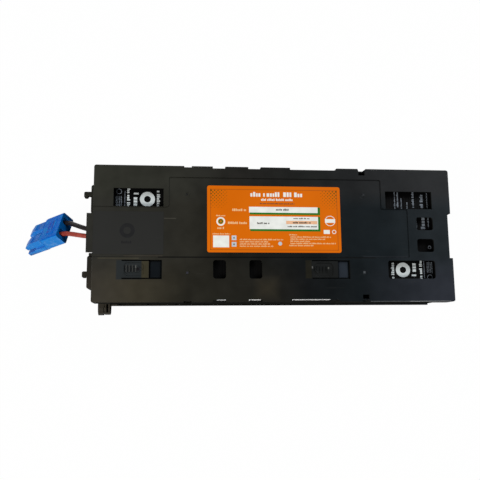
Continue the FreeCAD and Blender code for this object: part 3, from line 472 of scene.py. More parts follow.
def case_plastic():
    material, tree, shader = new_material("case_abs")
    place = node_of(tree, "ShaderNodeTexCoord").outputs["Object"]
    along = node_of(tree, "ShaderNodeSeparateXYZ", Vector=place).outputs
    step = fade_mm(tree, along["X"], TONES_RUN)
    # The three ramps are painted reflection and shade along the case.
    upper, bed, lower = (tone_ramp(tree, step, tones) for tones in (UPPER_PAINTED_LIGHT_TONES, BED_PAINTED_LIGHT_TONES, LOWER_PAINTED_LIGHT_TONES))
    tone = lay_over(tree, fade_mm(tree, along["Y"], BED_EDGE), upper, bed)
    tone = lay_over(tree, fade_mm(tree, along["Y"], LOWER_EDGE), tone, lower)
    high_up = fade_mm(tree, along["Z"], PAINTED_LIGHT_START)
    # Each patch paints a highlight, a sheen or shade on the case.
    for x, y, half_x, half_y, soft, colour in PAINTED_LIGHT_PATCHES:
        mask = use_group(tree, PATCH, Centre_X=x * MM, Centre_Y=y * MM, Half_X=half_x * MM,
                         Half_Y=half_y * MM, Soft=soft * MM)["Mask"]
        tone = lay_over(tree, math_node(tree, "MULTIPLY", mask, high_up), tone, colour)
    grain = use_group(tree, GRAIN, Grain_per_metre=2300.0, Drift_per_metre=45.0)
    drift = two_tones(tree, fade(tree, grain["Tone"], 0.3, 0.7), (0.74, 0.74, 0.74), (1.0, 1.0, 1.0))
    tone = lay_over(tree, 1.0, tone, drift, "MULTIPLY")
    worn = use_group(tree, SCUFFS, Amount=0.35)["Scuffs"]
    tone = lay_over(tree, worn, tone, (0.040, 0.040, 0.038))
    set_surface(tree, shader, tone, grain["Tone"], rough=(0.36, 0.46), specular=0.12)
    add_bump(tree, shader, grain["Grain"], 0.04 * MM)
    return material


case_abs = case_plastic()
print("case plastic:", len(case_abs.node_tree.nodes), "nodes")

# %% [markdown]
# ## Soft edges on the moulded pieces
# A mould never leaves a knife edge. A copy of each moulded CAD piece is merged, its flat
# triangles are joined, and every edge over a set angle gets a small round. Where the
# round runs out of room, as between two ribs, it would throw a spike, so each trial is
# held against the CAD surface and the edges beside a spike stay sharp. If no trial comes
# out clean, the copy stays sharp all over. Normals are then weighted by face area, which
# keeps broad faces flat and lets only the rounds shade. Upright faces take the second
# material of the list, which is the matte one.

# %% Rounded copies of the CAD pieces
EDGE_ANGLE = math.radians(28)
FLAT_ANGLE = math.radians(0.3)
SHARP_ANGLE = math.radians(50)
UPRIGHT = 0.35
MERGE_REACH = 1e-6
TRIALS = 6
# In widths of the round: how far off the CAD surface a spike is, and how far round it
# the edges stay sharp.
SPIKE_HEIGHT = 0.6
SPIKE_REACH = 3
COVER_ROUND = 0.14 * MM
TRAY_ROUND = 0.22 * MM
CASE_MATERIALS = [case_abs, case_wall]


def finish_mesh(name, bm, materials):
    """Turns a bmesh into a finished piece that rides with the case."""
    mesh = bpy.data.meshes.new(name)
    bm.to_mesh(mesh)
    bm.free()
    for material in materials:
        mesh.materials.append(material)
    mesh.shade_smooth()
    mesh.set_sharp_from_angle(angle=SHARP_ANGLE)
    piece = new_object(name, mesh)
    even = piece.modifiers.new("even_shading", "WEIGHTED_NORMAL")
    even.keep_sharp = True
    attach(piece, "root")
    return piece


def round_edges(bm, edges, width, **limits):
    bmesh.ops.bevel(bm, geom=edges, offset=width, offset_type="OFFSET", segments=2, profile=0.5,
                    affect="EDGES", material=-1, **limits)


def share_out(bm, materials):
    """Puts the second material, where there is one, on the upright faces."""
    for face in bm.faces:
        face.material_index = int(len(materials) > 1 and abs(face.normal.z) < UPRIGHT)


def merged_copy(node):
    bm = bmesh.new()
    bm.from_mesh(nodes[node].data)
    bmesh.ops.remove_doubles(bm, verts=bm.verts, dist=MERGE_REACH)
    bmesh.ops.dissolve_limit(bm, angle_limit=FLAT_ANGLE, verts=bm.verts, edges=bm.edges)
    return bm


def is_rounded(edge, crowded):
    if len(edge.link_faces) != 2 or edge.calc_face_angle() <= EDGE_ANGLE:
        return False
    return not any((vert.co - spot).length < reach for vert in edge.verts for spot, reach in crowded)


def rounded_mesh(node, width):
    """A merged copy of a CAD piece with rounded edges, and how many edges were rounded."""
    surface = merged_copy(node)
    tree = BVHTree.FromBMesh(surface)
    surface.free()
    crowded = []
    for trial in range(TRIALS):
        bm = merged_copy(node)
        edges = [edge for edge in bm.edges if is_rounded(edge, crowded)]
        rounded = len(edges)
        round_edges(bm, edges, width, clamp_overlap=False, loop_slide=False)
        spikes = [vert for vert in bm.verts if tree.find_nearest(vert.co)[3] > SPIKE_HEIGHT * width]
        if not spikes:
            return bm, rounded
        for spike in spikes:
            for edge in spike.link_edges:
                crowded.append((edge.other_vert(spike).co.copy(), SPIKE_REACH * width))
        print(node, "trial", trial, len(spikes), "spikes")
        bm.free()
    return merged_copy(node), 0


def rounded_copy(node, name, width, materials):
    """A rounded copy that stands for a CAD piece."""
    bm, rounded = rounded_mesh(node, width)
    bmesh.ops.triangulate(bm, faces=[face for face in bm.faces if len(face.verts) > 4])
    share_out(bm, materials)
    piece = finish_mesh(name, bm, materials)
    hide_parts(node)
    print(name, len(piece.data.polygons), "faces,", rounded, "edges rounded")


rounded_copy("top_cover", "cover_moulding", COVER_ROUND, CASE_MATERIALS)
rounded_copy("bottom_tray", "tray_moulding", TRAY_ROUND, CASE_MATERIALS)

# %% [markdown]
# ## Web beside the guide boss
# The tray's lower guide boss reaches up to the end plate. The CAD boss stops a little
# short of it, so a plain block with rounded edges closes the gap.

# %% Boss web
WEB_LOW = Vector((-219.3, -25.5, 18.0)) * MM
WEB_HIGH = Vector((-210.0, -20.6, 56.0)) * MM
WEB_ROUND = 0.5 * MM


def block(bm, low, high):
    """A box between two corners."""
    placed = Matrix.LocRotScale((low + high) / 2, None, high - low)
    return bmesh.ops.create_cube(bm, size=1.0, matrix=placed)["verts"]


def make_boss_web():
    bm = bmesh.new()
    block(bm, WEB_LOW, WEB_HIGH)
    round_edges(bm, list(bm.edges), WEB_ROUND)
    share_out(bm, CASE_MATERIALS)
    return finish_mesh("boss_web", bm, CASE_MATERIALS)


boss_web = make_boss_web()
print("boss web", len(boss_web.data.polygons), "faces")

# %% [markdown]
# ## Print
# All print is thin slabs of ink on a film. Lettering is not spelled out: a line of text
# is a row of small blocks in word-like groups, which reads as text from a step away.
# Real slabs, rather than an image, keep a crisp edge at any distance. Where two inks
# overlap, the upper one is a layer thicker, so the two never share a surface.

# %% Ink
INK = 0.02 * MM
WORD_LETTERS = (3, 7)
# In heights of the line.
LETTER_WIDTH = (0.34, 0.62)
LETTER_GAP = 0.16
WORD_GAP = 0.45
TALL_SHARE = 0.35
SHORT_LETTER = 0.74
LEAST_ROOM = 0.3


def slab(bm, x0, x1, y0, y1, base, level, ink):
    """A thin block of ink: base is the film's surface, level its layer above it, in whole inks."""
    low = Vector((min(x0, x1), min(y0, y1), base - INK))
    high = Vector((max(x0, x1), max(y0, y1), base + level * INK))
    for face in {face for vert in block(bm, low, high) for face in vert.link_faces}:
        face.material_index = ink


def circle(bm, x, y, z, radius, sides, filled):
    made = bmesh.ops.create_circle(bm, cap_ends=filled, radius=radius, segments=sides,
                                   matrix=Matrix.Translation((x, y, z)))
    return made["verts"]


def ring(bm, x, y, radius, hole, base, level, ink, sides=24):
    """A flat ring, or a disc where the hole is 0."""
    top = base + level * INK
    outer = circle(bm, x, y, top, radius, sides, hole == 0.0)
    if hole:
        inner = circle(bm, x, y, top, hole, sides, False)
        both = set(outer) | set(inner)
        rims = [edge for edge in bm.edges if edge.is_wire and all(vert in both for vert in edge.verts)]
        faces = bmesh.ops.bridge_loops(bm, edges=rims)["faces"]
    else:
        faces = list({face for vert in outer for face in vert.link_faces})
    bmesh.ops.recalc_face_normals(bm, faces=faces)
    if faces[0].normal.z < 0:
        bmesh.ops.reverse_faces(bm, faces=faces)
    for face in faces:
        face.material_index = ink


def text_line(bm, rng, start, end, low, high, base, level, ink, along="x"):
    """A row of letter-sized blocks between start and end, with gaps between words."""
    height = abs(high - low)
    length = abs(end - start)
    way = 1 if end > start else -1
    at = 0.0
    letters = rng.randint(*WORD_LETTERS)
    while at < length - LEAST_ROOM * height:
        width = height * rng.uniform(*LETTER_WIDTH)
        tall = rng.random() < TALL_SHARE
        a, b = start + way * at, start + way * min(at + width, length)
        edge = high if tall else low + (high - low) * SHORT_LETTER
        box = (a, b, low, edge) if along == "x" else (low, edge, a, b)
        slab(bm, *box, base, level, ink)
        at += width + LETTER_GAP * height
        letters -= 1
        if letters == 0:
            at += WORD_GAP * height
            letters = rng.randint(*WORD_LETTERS)


def printing_ink(name, colour, rough=0.45):
    """Printing ink: an even colour, a little thin in places."""
    material, tree, shader = new_material(name)
    grain = use_group(tree, GRAIN, Grain_per_metre=1800.0, Drift_per_metre=120.0)
    tone = drifting_tone(tree, grain["Tone"], [c * 0.9 for c in colour], colour)
    set_surface(tree, shader, tone, grain["Tone"], (rough - 0.05, rough + 0.05), specular=0.15)
    return material


print("one layer of ink is", round(INK / MM, 3), "mm")

# %% [markdown]
# ## Blue plug
# The housing is moulded in blue polycarbonate. Its flank is painted brighter than its
# face, a painted light, and its rear nearly navy, a painted shade. Frosty patches from the
# mould make it rougher, and lighten its colour as a painted sheen. The plug hangs askew,
# so its own three directions are set first, and the tones are mixed by which way a face
# points in them. Past the body the two tines have fine ribs across their face, drawn as
# painted highlights on their crests, and a painted shade line lies at the step where they
# start. Both are stripes by the distance along the plug, much lighter than modelled ribs.

# %% Plug
PLUG_REAR = Vector((-248.7, 10.2, 49.0)) * MM
PLUG_NOSE = Vector((-0.7918, -0.1729, -0.5858)).normalized()
PLUG_FLANK = Vector((-0.1571, -0.8691, 0.4690)).normalized()
PLUG_FACE = PLUG_NOSE.cross(PLUG_FLANK)
PLUG_TURN = Matrix((PLUG_NOSE, PLUG_FLANK, PLUG_FACE)).transposed().to_4x4()
PLUG_PLACE = Matrix.Translation(PLUG_REAR) @ PLUG_TURN
PLUG_ROUND = 0.35 * MM
BODY_LENGTH = 29.0 * MM
RIB_PITCH = 1.9 * MM
STEP_SHADE_AT = 0.6 * MM
FACING = (0.5, 0.85)
FACE_TONES = (0.0003, 0.125, 0.58), (0.012, 0.215, 0.62)
# Painted light on the flank, painted highlights on the rib crests, and painted shade at the step and on the
# rear.
LIT_FLANK_TONES = (0.020, 0.240, 0.74), (0.085, 0.305, 0.78)
CREST_HIGHLIGHT_TONE = (0.120, 0.260, 0.62)
STEP_SHADE_TONE = (0.001, 0.055, 0.30)
REAR_SHADE_TONE = (0.0008, 0.075, 0.27)
RUBBED_TONE = (0.05, 0.30, 0.80)


def along_way(tree, value, way):
    """How far a place or a direction reaches along a fixed way."""
    reach = tree.nodes.new("ShaderNodeVectorMath")
    reach.operation = "DOT_PRODUCT"
    tree.links.new(value, reach.inputs[0])
    reach.inputs[1].default_value = way
    return reach.outputs["Value"]


def facing(tree, normal, way, sign=1):
    """A mask of the faces that look along a fixed way, or against it."""
    return fade(tree, along_way(tree, normal, way), sign * FACING[0], sign * FACING[1])


def rib_crest_highlights(tree, past, on_face):
    """A mask of painted highlight stripes on the rib crests across the tines, by the distance past the
    body.
    """
    wave = math_node(tree, "SINE", math_node(tree, "MULTIPLY", past, 2 * math.pi / RIB_PITCH))
    on_tines = math_node(tree, "MULTIPLY", fade(tree, past, 1.5 * MM, 2.5 * MM), on_face)
    return math_node(tree, "MULTIPLY", map_range(tree, wave, -0.2, 0.7, 0.0, 0.75), on_tines)


def body_step_shade(tree, past, on_sides):
    """A mask of one painted shade line round the step at the end of the body."""
    away = math_node(tree, "ABSOLUTE", math_node(tree, "SUBTRACT", past, STEP_SHADE_AT))
    return math_node(tree, "MULTIPLY", map_range(tree, away, 0.3 * MM, 0.9 * MM, 0.9, 0.0), on_sides)


def plug_plastic():
    material, tree, shader = new_material("plug_blue")
    place = node_of(tree, "ShaderNodeTexCoord").outputs
    # Masks by facing: the flank gets painted light and the rear painted shade.
    lit_flank = facing(tree, place["Normal"], PLUG_FLANK)
    face = facing(tree, place["Normal"], PLUG_FACE)
    shaded_rear = facing(tree, place["Normal"], PLUG_NOSE, -1)
    past = math_node(tree, "SUBTRACT", along_way(tree, place["Object"], PLUG_NOSE),
                     PLUG_REAR.dot(PLUG_NOSE) + BODY_LENGTH)
    frost = node_of(tree, "ShaderNodeTexNoise", Vector=place["Object"], Scale=150.0, Detail=3.0)
    # Frost roughens the surface and lightens the colour as a painted sheen.
    frost_and_sheen = fade(tree, frost.outputs["Fac"], 0.50, 0.64)
    tone = two_tones(tree, frost_and_sheen, *FACE_TONES)
    tone = lay_over(tree, lit_flank, tone, two_tones(tree, frost_and_sheen, *LIT_FLANK_TONES))
    # Painted highlights on the rib crests.
    tone = lay_over(tree, rib_crest_highlights(tree, past, face), tone, CREST_HIGHLIGHT_TONE)
    # A painted shade line at the step where the tines start.
    tone = lay_over(tree, body_step_shade(tree, past, math_node(tree, "MAXIMUM", lit_flank, face)), tone, STEP_SHADE_TONE)
    tone = lay_over(tree, shaded_rear, tone, REAR_SHADE_TONE)
    tone = lay_over(tree, use_group(tree, SCUFFS, Amount=0.6)["Scuffs"], tone, RUBBED_TONE)
    tree.links.new(tone, shader.inputs["Base Color"])
    tree.links.new(map_range(tree, frost_and_sheen, 0.0, 1.0, 0.25, 0.42), shader.inputs["Roughness"])
    shader.inputs["Specular IOR Level"].default_value = 0.04
    add_bump(tree, shader, use_group(tree, GRAIN, Grain_per_metre=900.0)["Grain"], 0.02 * MM)
    return material


rounded_copy("plug_housing", "plug_moulding", PLUG_ROUND, [plug_plastic()])

# %% [markdown]
# ## Marks on the plug
# A rating is moulded in low letters on the raised pad. Here two rows of plain bars stand
# for it. They are drawn flat in the plug's own frame, then turned into place with it,
# which is simpler than drawing them askew.

# %% Marks on the plug
PAD_TOP = 9.0 * MM
MARK_LEVEL = 8
# Each row: from and to across the plug, from and to along it (mm).
MARK_ROWS = ((-8.5, 8.0, 10.4, 13.4), (-7.0, 8.5, 15.4, 19.6))


def make_plug_marks():
    rng = random.Random(6)
    bm = bmesh.new()
    for start, end, low, high in MARK_ROWS:
        text_line(bm, rng, start * MM, end * MM, low * MM, high * MM, PAD_TOP, MARK_LEVEL, 0, along="y")
    bmesh.ops.transform(bm, matrix=PLUG_PLACE, verts=bm.verts)
    return finish_mesh("plug_marks", bm, [printing_ink("plug_mark_blue", (0.0005, 0.060, 0.44), 0.4)])


plug_marks = make_plug_marks()
print("plug marks", len(plug_marks.data.polygons), "faces")

# %% [markdown]
# ## Leads
# Each lead is a short length of stranded cable in a rubbery jacket. The route is the
# same list of points as in the CAD model, as the control points of one smooth curve,
# and the curve's round bevel gives it thickness. A tube of straight runs would look
# like bent wire.

# %% Leads
LEAD_DIAMETER = 5.5 * MM
BLACK_ROUTE = [(-202.0, 3.9, 72.2), (-212.0, 3.9, 72.2), (-222.5, 6.2, 68.2), (-235.0, 11.9, 58.2),
               (-246.57, 17.76, 45.6), (-256.87, 15.51, 37.98)]
RED_ROUTE = [(-202.0, -3.9, 72.2), (-212.0, -3.9, 72.2), (-223.5, -2.8, 70.0), (-237.0, 0.3, 63.2),
             (-249.24, 2.99, 53.57), (-259.54, 0.74, 45.96)]
BLACK_LENGTH = 0.069
RED_LENGTH = 0.0657


def lead_jacket(name, low, high, rough):
    """Rubbery insulation: a soft sheen over a fine grain."""
    material, tree, shader = new_material(name)
    grain = use_group(tree, GRAIN, Grain_per_metre=1400.0, Drift_per_metre=60.0)
    tone = drifting_tone(tree, grain["Tone"], low, high)
    set_surface(tree, shader, tone, grain["Grain"], (rough - 0.06, rough + 0.06), specular=0.3)
    add_bump(tree, shader, grain["Grain"], 0.08 * MM)
    return material


def make_lead(name, node, route, length, material):
    curve = bpy.data.curves.new(name, "CURVE")
    curve.dimensions = "3D"
    curve.bevel_depth = LEAD_DIAMETER / 2
    curve.bevel_resolution = 6
    curve.resolution_u = 16
    curve.use_fill_caps = True
    spline = curve.splines.new("NURBS")
    spline.points.add(len(route) - 1)
    for point, place in zip(spline.points, route):
        point.co = (*(c * MM for c in place), 1.0)
    spline.order_u = 3
    spline.use_endpoint_u = True
    curve.materials.append(material)
    lead = new_object(name, curve)
    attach(lead, "root")
    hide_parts(node)
    print(name, round(length / MM, 1), "mm long")


red_jacket = lead_jacket("red_jacket", (0.29, 0.035, 0.022), (0.38, 0.060, 0.040), 0.45)
black_jacket = lead_jacket("black_jacket", (0.010, 0.007, 0.007), (0.019, 0.014, 0.014), 0.45)
make_lead("black_lead", "lead_black", BLACK_ROUTE, BLACK_LENGTH, black_jacket)
make_lead("red_lead", "lead_red", RED_ROUTE, RED_LENGTH, red_jacket)

# %% [markdown]
# ## Layout of the rating label
# The artwork is laid out on a sheet of its own, in millimetres from its lower left
# corner, and then stretched to the label's box. A printer works the same way, and the
# layout stays true if the label's size changes.

# %% Label layout
WHITE, GREEN, DARK, PEACH, OLIVE, GREY, CREAM, MOSS = range(8)
ARTWORK = (156.9, 77.6)
label_low, label_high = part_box("rating_label")
label_inks = [printing_ink("ink_" + name, colour) for name, colour in (
    ("white", (0.86, 0.88, 0.85)), ("green", (0.020, 0.17, 0.014)), ("dark", (0.06, 0.05, 0.04)),
    ("peach", (0.86, 0.50, 0.30)), ("olive", (0.40, 0.085, 0.002)), ("grey", (0.55, 0.60, 0.66)),
    ("cream", (0.85, 0.52, 0.26)), ("moss", (0.065, 0.075, 0.002)))]


def on_label(x, y):
    """A place in the artwork, as a place on the label."""
    return (label_low[0] + x * (label_high[0] - label_low[0]) / ARTWORK[0],
            label_low[1] + y * (label_high[1] - label_low[1]) / ARTWORK[1])


def label_block(bm, x0, x1, y0, y1, level, ink):
    (a, low), (b, high) = on_label(x0, y0), on_label(x1, y1)
    slab(bm, a, b, low, high, label_high[2], level, ink)


def label_text(bm, rng, x0, x1, y0, y1, level, ink):
    (a, low), (b, high) = on_label(x0, y0), on_label(x1, y1)
    text_line(bm, rng, a, b, low, high, label_high[2], level, ink)


def label_ring(bm, x, y, radius, hole, level, ink, sides=24):
    ring(bm, *on_label(x, y), radius * MM, hole * MM, label_high[2], level, ink, sides)


print("label", [round((b - a) / MM, 1) for a, b in zip(label_low, label_high)], "mm")

# %% [markdown]
# ## Rating label
# The label is an orange film with rounded corners. It carries a thin border, dots that
# fade from two corners, a heading, two white boxes with green drop shadows, small
# emblems and blocks of fine text. Each part of it has its own function, and one random
# generator runs through them all, so the print is the same on every run.

# %% Label print
BORDER = 0.6
DOT_TOP = 72.0
DOT_ROWS = 11
DOT_COLUMNS = 5
DOT_PITCH = 4.0
DOT_RADIUS = 0.92
DOT_FADE = 0.028
LEAST_DOT = 0.25
FINE_HEIGHT = 1.6
# Two blocks of fine text: top row, distance between rows, then the rows. A row of the
# left block is its length, and one of the right block its inset and length.
LEFT_TOP = 14.2
LEFT_PITCH = 2.55
LEFT_ROWS = (51.0, 33.0, 35.5, 39.5)
RIGHT_TOP = 20.0
RIGHT_PITCH = 2.5
RIGHT_ROWS = ((0.0, 10.0), (1.5, 48.0), (1.5, 41.0), (1.5, 23.0), (1.5, 54.0), (0.0, 29.0))


def print_border(bm):
    left, right, low, high = 3.6, 153.4, 2.7, 73.6
    for box in ((left, right, low, low + BORDER), (left, right, high - BORDER, high),
                (left, left + BORDER, low, high), (right - BORDER, right, low, high)):
        label_block(bm, *box, 1, OLIVE)


def print_corner_dots(bm, corner_x, way):
    """A lattice of green dots that shrink away from a corner."""
    for row in range(DOT_ROWS):
        for column in range(DOT_COLUMNS):
            x = (column + 0.5 * (row % 2)) * DOT_PITCH
            y = row * DOT_PITCH / 2
            radius = DOT_RADIUS - DOT_FADE * math.hypot(x, y)
            if radius > LEAST_DOT:
                label_ring(bm, corner_x + way * x, DOT_TOP - y, radius, 0.0, 1, MOSS, sides=10)


def print_heading(bm, rng):
    for x0, x1 in ((50.5, 67.4), (69.6, 87.2), (89.3, 113.9)):
        label_text(bm, rng, x0, x1, 65.2, 70.6, 1, WHITE)
    label_text(bm, rng, 63.0, 101.4, 60.4, 63.0, 1, WHITE)
    label_text(bm, rng, 61.5, 102.8, 56.4, 57.8, 1, DARK)


def print_boxes(bm, rng):
    """Two captions, and two white boxes with their lines of text."""
    label_text(bm, rng, 29.2, 45.2, 48.0, 50.8, 1, CREAM)
    label_text(bm, rng, 24.0, 46.3, 32.9, 35.5, 1, CREAM)
    label_block(bm, 49.6, 132.6, 44.1, 53.0, 1, GREEN)
    label_block(bm, 48.7, 129.8, 46.4, 53.2, 2, WHITE)
    label_text(bm, rng, 80.3, 95.2, 48.9, 51.2, 3, DARK)
    label_block(bm, 49.9, 132.6, 24.7, 42.0, 1, GREEN)
    label_block(bm, 49.1, 130.0, 27.1, 42.0, 2, WHITE)
    label_text(bm, rng, 57.9, 73.2, 33.0, 35.2, 3, DARK)
    label_text(bm, rng, 100.8, 120.4, 39.1, 40.7, 3, DARK)
    label_block(bm, 92.1, 129.0, 33.2, 37.1, 3, PEACH)
    label_text(bm, rng, 100.0, 121.7, 34.0, 36.2, 4, DARK)
    label_text(bm, rng, 93.8, 129.0, 29.6, 31.4, 3, DARK)


def print_emblems(bm, rng):
    """A plain ring between two words, and plain shapes where certification marks go."""
    label_text(bm, rng, 10.4, 21.0, 41.7, 43.2, 1, CREAM)
    label_ring(bm, 15.7, 35.7, 5.2, 3.4, 1, WHITE)
    label_ring(bm, 15.7, 35.7, 2.6, 1.2, 1, GREEN)
    label_text(bm, rng, 11.8, 20.2, 26.9, 29.4, 1, CREAM)
    label_ring(bm, 144.3, 37.3, 6.2, 5.5, 1, WHITE)
    label_block(bm, 138.2, 150.4, 35.1, 39.5, 2, WHITE)
    label_block(bm, 136.3, 143.6, 22.0, 26.7, 1, WHITE)
    label_ring(bm, 148.8, 24.4, 2.5, 1.7, 1, WHITE)
    for low in (14.1, 6.6):
        label_block(bm, 28.2, 33.7, low, low + 5.4, 1, GREY)
        label_ring(bm, 30.95, low + 2.7, 1.0, 0.4, 2, DARK)
    label_ring(bm, 84.6, 10.4, 2.3, 0.0, 1, GREY)


def print_fine_text(bm, rng):
    """A white field with its caption, and two blocks of fine text."""
    label_text(bm, rng, 6.2, 26.5, 20.6, 22.2, 1, CREAM)
    label_block(bm, 6.8, 25.3, 5.8, 19.4, 1, WHITE)
    for row, length in enumerate(LEFT_ROWS):
        y = LEFT_TOP - row * LEFT_PITCH
        label_text(bm, rng, 37.6, 37.6 + length, y, y + FINE_HEIGHT, 1, CREAM)
    for row, (inset, length) in enumerate(RIGHT_ROWS):
        x, y = 95.2 + inset, RIGHT_TOP - row * RIGHT_PITCH
        label_text(bm, rng, x, x + length, y, y + FINE_HEIGHT, 1, CREAM)


def make_label_print():
    rng = random.Random(4)
    bm = bmesh.new()
    print_border(bm)
    print_corner_dots(bm, 4.7, 1)
    print_corner_dots(bm, 152.2, -1)
    print_heading(bm, rng)
    print_boxes(bm, rng)
    print_emblems(bm, rng)
    print_fine_text(bm, rng)
    return finish_mesh("label_print", bm, label_inks)


label_print = make_label_print()
print("label print", len(label_print.data.polygons), "faces")

# %% [markdown]
# ## Orange film
# The label itself is a CAD piece with the right shape, so it stays and only gets a
# finish: a satin film with a faint mottle. Its sheen is kept low, because a film under
# a clear coat mirrors little from above.

# %% Label film


def label_film():
    material, tree, shader = new_material("label_film")
    grain = use_group(tree, GRAIN, Grain_per_metre=700.0, Drift_per_metre=14.0)
    mottle = fade(tree, grain["Tone"], 0.3, 0.7)
    tone = two_tones(tree, mottle, (0.655, 0.133, 0.0005), (0.73, 0.152, 0.0008))
    set_surface(tree, shader, tone, grain["Tone"], rough=(0.42, 0.5), specular=0.06)
    add_bump(tree, shader, grain["Grain"], 0.02 * MM)
    return material


def dress(names, material):
    """Gives carried-over CAD nodes a finish, in the material slots of their objects."""
    for name in names:
        for place in nodes[name].material_slots:
            place.material = material
    print(material.name, "on", ", ".join(names))


dress(["rating_label"], label_film())

# %% [markdown]
# ## Battery films
# Each battery wears a black printed film on its broad side. Two of the four show pale
# print through the windows: lines of large and small text across the film, and a round
# mark. The places are measured from the battery's base, so both prints are one pattern,
# turned half round. Print that no window shows isn't drawn.

# %% Battery films
BLOCKS = ("battery_1", "battery_2", "battery_3", "battery_4")
BRIGHT, DIM = 0, 1
film_inks = [printing_ink("film_ink", (0.66, 0.72, 0.74)), printing_ink("film_ink_dim", (0.20, 0.23, 0.27))]
# Lines of text: from and to along the battery, from and to across it (mm), ink.
FILM_LINES = [
    (65.6, 69.2, 33.0, 52.6, BRIGHT), (38.6, 44.2, 33.5, 50.0, BRIGHT), (31.0, 34.4, 30.0, 56.0, BRIGHT),
    (28.0, 29.0, 30.0, 51.0, DIM), *((low, low + 1.0, 32.0, 45.0, DIM) for low in (18.2, 20.1, 22.0, 23.9)),
    (60.4, 61.8, -54.5, -33.0, DIM), (56.4, 58.6, -53.7, -34.1, DIM), (52.2, 53.4, -46.5, -33.3, DIM),
    (45.0, 46.6, -41.4, -33.7, DIM), (36.8, 39.4, -54.2, -34.3, DIM), (25.6, 29.4, -51.0, -34.2, DIM),
    (19.8, 21.0, -53.2, -33.9, DIM), (24.4, 29.6, -22.5, -8.2, DIM), (34.4, 35.0, -20.9, -9.1, DIM),
    (19.4, 20.8, -23.1, -9.7, DIM)]
# Rings: place along and across the battery, radius, hole (mm), ink, sides.
FILM_RINGS = [(54.6, 41.5, 8.8, 3.9, BRIGHT, 40), (21.6, 50.4, 3.3, 2.5, DIM, 24),
              (20.0, 14.0, 2.0, 1.5, DIM, 24)]


def film_print(battery, lid_way, slip=0.0):
    """Print on one battery's film. lid_way is 1 or -1: the way along X from its base to its lid."""
    rng = random.Random(11)
    low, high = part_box(battery + "_block")
    base_x = low[0] if lid_way > 0 else high[0]
    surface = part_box(battery + "_label")[1][2]
    bm = bmesh.new()

    def spot(along, across):
        return base_x + lid_way * (along + slip) * MM, lid_way * across * MM

    for u0, u1, v0, v1, ink in FILM_LINES:
        (x0, y0), (x1, y1) = spot(u0, v0), spot(u1, v1)
        text_line(bm, rng, y0, y1, x0, x1, surface, 1, ink, along="y")
    for u, v, radius, hole, ink, sides in FILM_RINGS:
        ring(bm, *spot(u, v), radius * MM, hole * MM, surface, 1, ink, sides)
    piece = finish_mesh(battery + "_print", bm, film_inks)
    print(piece.name, len(piece.data.polygons), "faces")


def film_black():
    """Black film over the battery's ribs: faint ridges show through it."""
    material, tree, shader = new_material("battery_film")
    place = node_of(tree, "ShaderNodeTexCoord").outputs["Object"]
    ridges = node_of(tree, "ShaderNodeTexWave", Vector=place, Scale=90.0)
    ridges.bands_direction = "X"
    grain = use_group(tree, GRAIN, Drift_per_metre=30.0)
    tone = two_tones(tree, grain["Tone"], (0.0015, 0.0015, 0.0018), (0.004, 0.004, 0.004))
    set_surface(tree, shader, tone, grain["Tone"], rough=(0.35, 0.5), specular=0.06)
    add_bump(tree, shader, ridges.outputs["Fac"], 0.06 * MM)
    return material


dress([b + "_label" for b in BLOCKS], film_black())
film_print("battery_1", 1, slip=2.2)
film_print("battery_4", -1)

# %% [markdown]
# ## Inside the case
# The batteries, vent covers, tabs, foam, wires and contacts are hardly seen, but each
# gets its own finish: dark ABS, tinned brass, closed-cell foam, nylon and cable jacket.
# Metal strip is rolled, so its grain is a noise stretched along X.

# %% Inner pieces


def metal(name, low, high, rough, brush_rate):
    """Rolled or plated strip, with a faint brushed grain along X."""
    material, tree, shader = new_material(name)
    place = node_of(tree, "ShaderNodeTexCoord").outputs["Object"]
    stretched = node_of(tree, "ShaderNodeMapping", Vector=place,
                        Scale=(brush_rate / 20, brush_rate, brush_rate)).outputs[0]
    brush = node_of(tree, "ShaderNodeTexNoise", Vector=stretched, Scale=1.0, Detail=2.0).outputs["Fac"]
    tone = two_tones(tree, brush, low, high)
    set_surface(tree, shader, tone, brush, (rough - 0.05, rough + 0.08), specular=0.5)
    shader.inputs["Metallic"].default_value = 1.0
    add_bump(tree, shader, brush, 0.01 * MM)
    return material


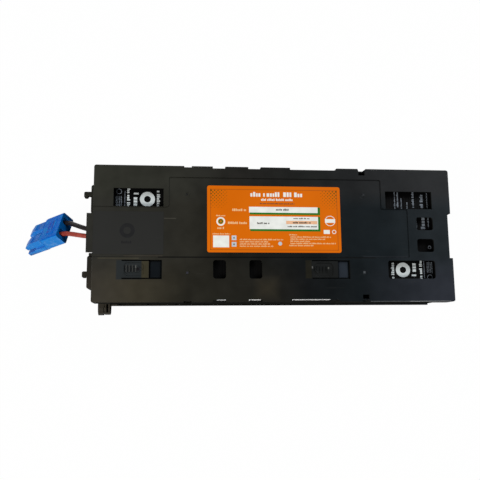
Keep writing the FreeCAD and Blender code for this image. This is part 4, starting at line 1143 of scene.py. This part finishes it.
battery_abs = moulded_plastic("battery_abs", (0.012, 0.013, 0.015), (0.020, 0.022, 0.026), 0.55,
                              specular=0.2)
vent_abs = moulded_plastic("vent_abs", (0.022, 0.024, 0.027), (0.030, 0.033, 0.038), 0.55,
                           grain_rate=1800.0)
foam = moulded_plastic("foam_tape", (0.050, 0.050, 0.050), (0.085, 0.085, 0.085), 0.9,
                       grain_depth=0.3 * MM, grain_rate=1200.0, scuffs=0.0)
nylon = moulded_plastic("nylon_sleeve", (0.58, 0.56, 0.50), (0.70, 0.68, 0.62), 0.35,
                        scuffs=0.1, scuff_tone=1.0)
tin = metal("tinned_brass", (0.50, 0.49, 0.46), (0.66, 0.65, 0.62), 0.32, 4000.0)
silver = metal("silver_plate", (0.72, 0.71, 0.68), (0.86, 0.85, 0.82), 0.25, 3000.0)
spring_steel = metal("spring_strip", (0.45, 0.45, 0.46), (0.60, 0.60, 0.61), 0.3, 5000.0)

dress([b + "_block" for b in BLOCKS], battery_abs)
dress([b + "_vent_cover" for b in BLOCKS], vent_abs)
dress([b + "_foam_strips" for b in BLOCKS], foam)
dress([b + "_" + pole + "_tab" for b in BLOCKS for pole in ("positive", "negative")], tin)
dress(["jumper_1_2", "jumper_2_3", "jumper_3_4", "black_lead_in_case"], black_jacket)
dress(["red_lead_in_case"], red_jacket)
dress([name for name in nodes if "receptacle" in name], nylon)
dress(["plug_contact_red", "plug_contact_black"], silver)
dress(["plug_spring_red", "plug_spring_black"], spring_steel)

# %% [markdown]
# ## Sticker at the plug end
# The dark sticker is a smoother film than the case round it. It is blank but for a
# faint round mark and one faint line of print, both hardly darker than the film.

# %% Sticker
# The ring: its place, radius and hole. The line: from and to, low and high edge (mm).
STICKER_RING = (-173.5, 2.6, 8.6, 4.2)
STICKER_LINE = (-180.0, -166.5, -12.5, -9.5)


def make_sticker_mark():
    rng = random.Random(9)
    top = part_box("end_sticker")[1][2]
    bm = bmesh.new()
    ring(bm, *(c * MM for c in STICKER_RING), top, 1, 0, sides=40)
    text_line(bm, rng, *(c * MM for c in STICKER_LINE), top, 1, 0)
    ink = printing_ink("sticker_ink", (0.0125, 0.0130, 0.0140))
    return finish_mesh("sticker_mark", bm, [ink])


plain_film = moulded_plastic("end_film", (0.0200, 0.0205, 0.0195), (0.0240, 0.0245, 0.0235), 0.42,
                             grain_depth=0.01 * MM, scuffs=0.25, specular=0.12)
dress(["end_sticker"], plain_film)
sticker_mark = make_sticker_mark()
print("sticker mark", len(sticker_mark.data.polygons), "faces")
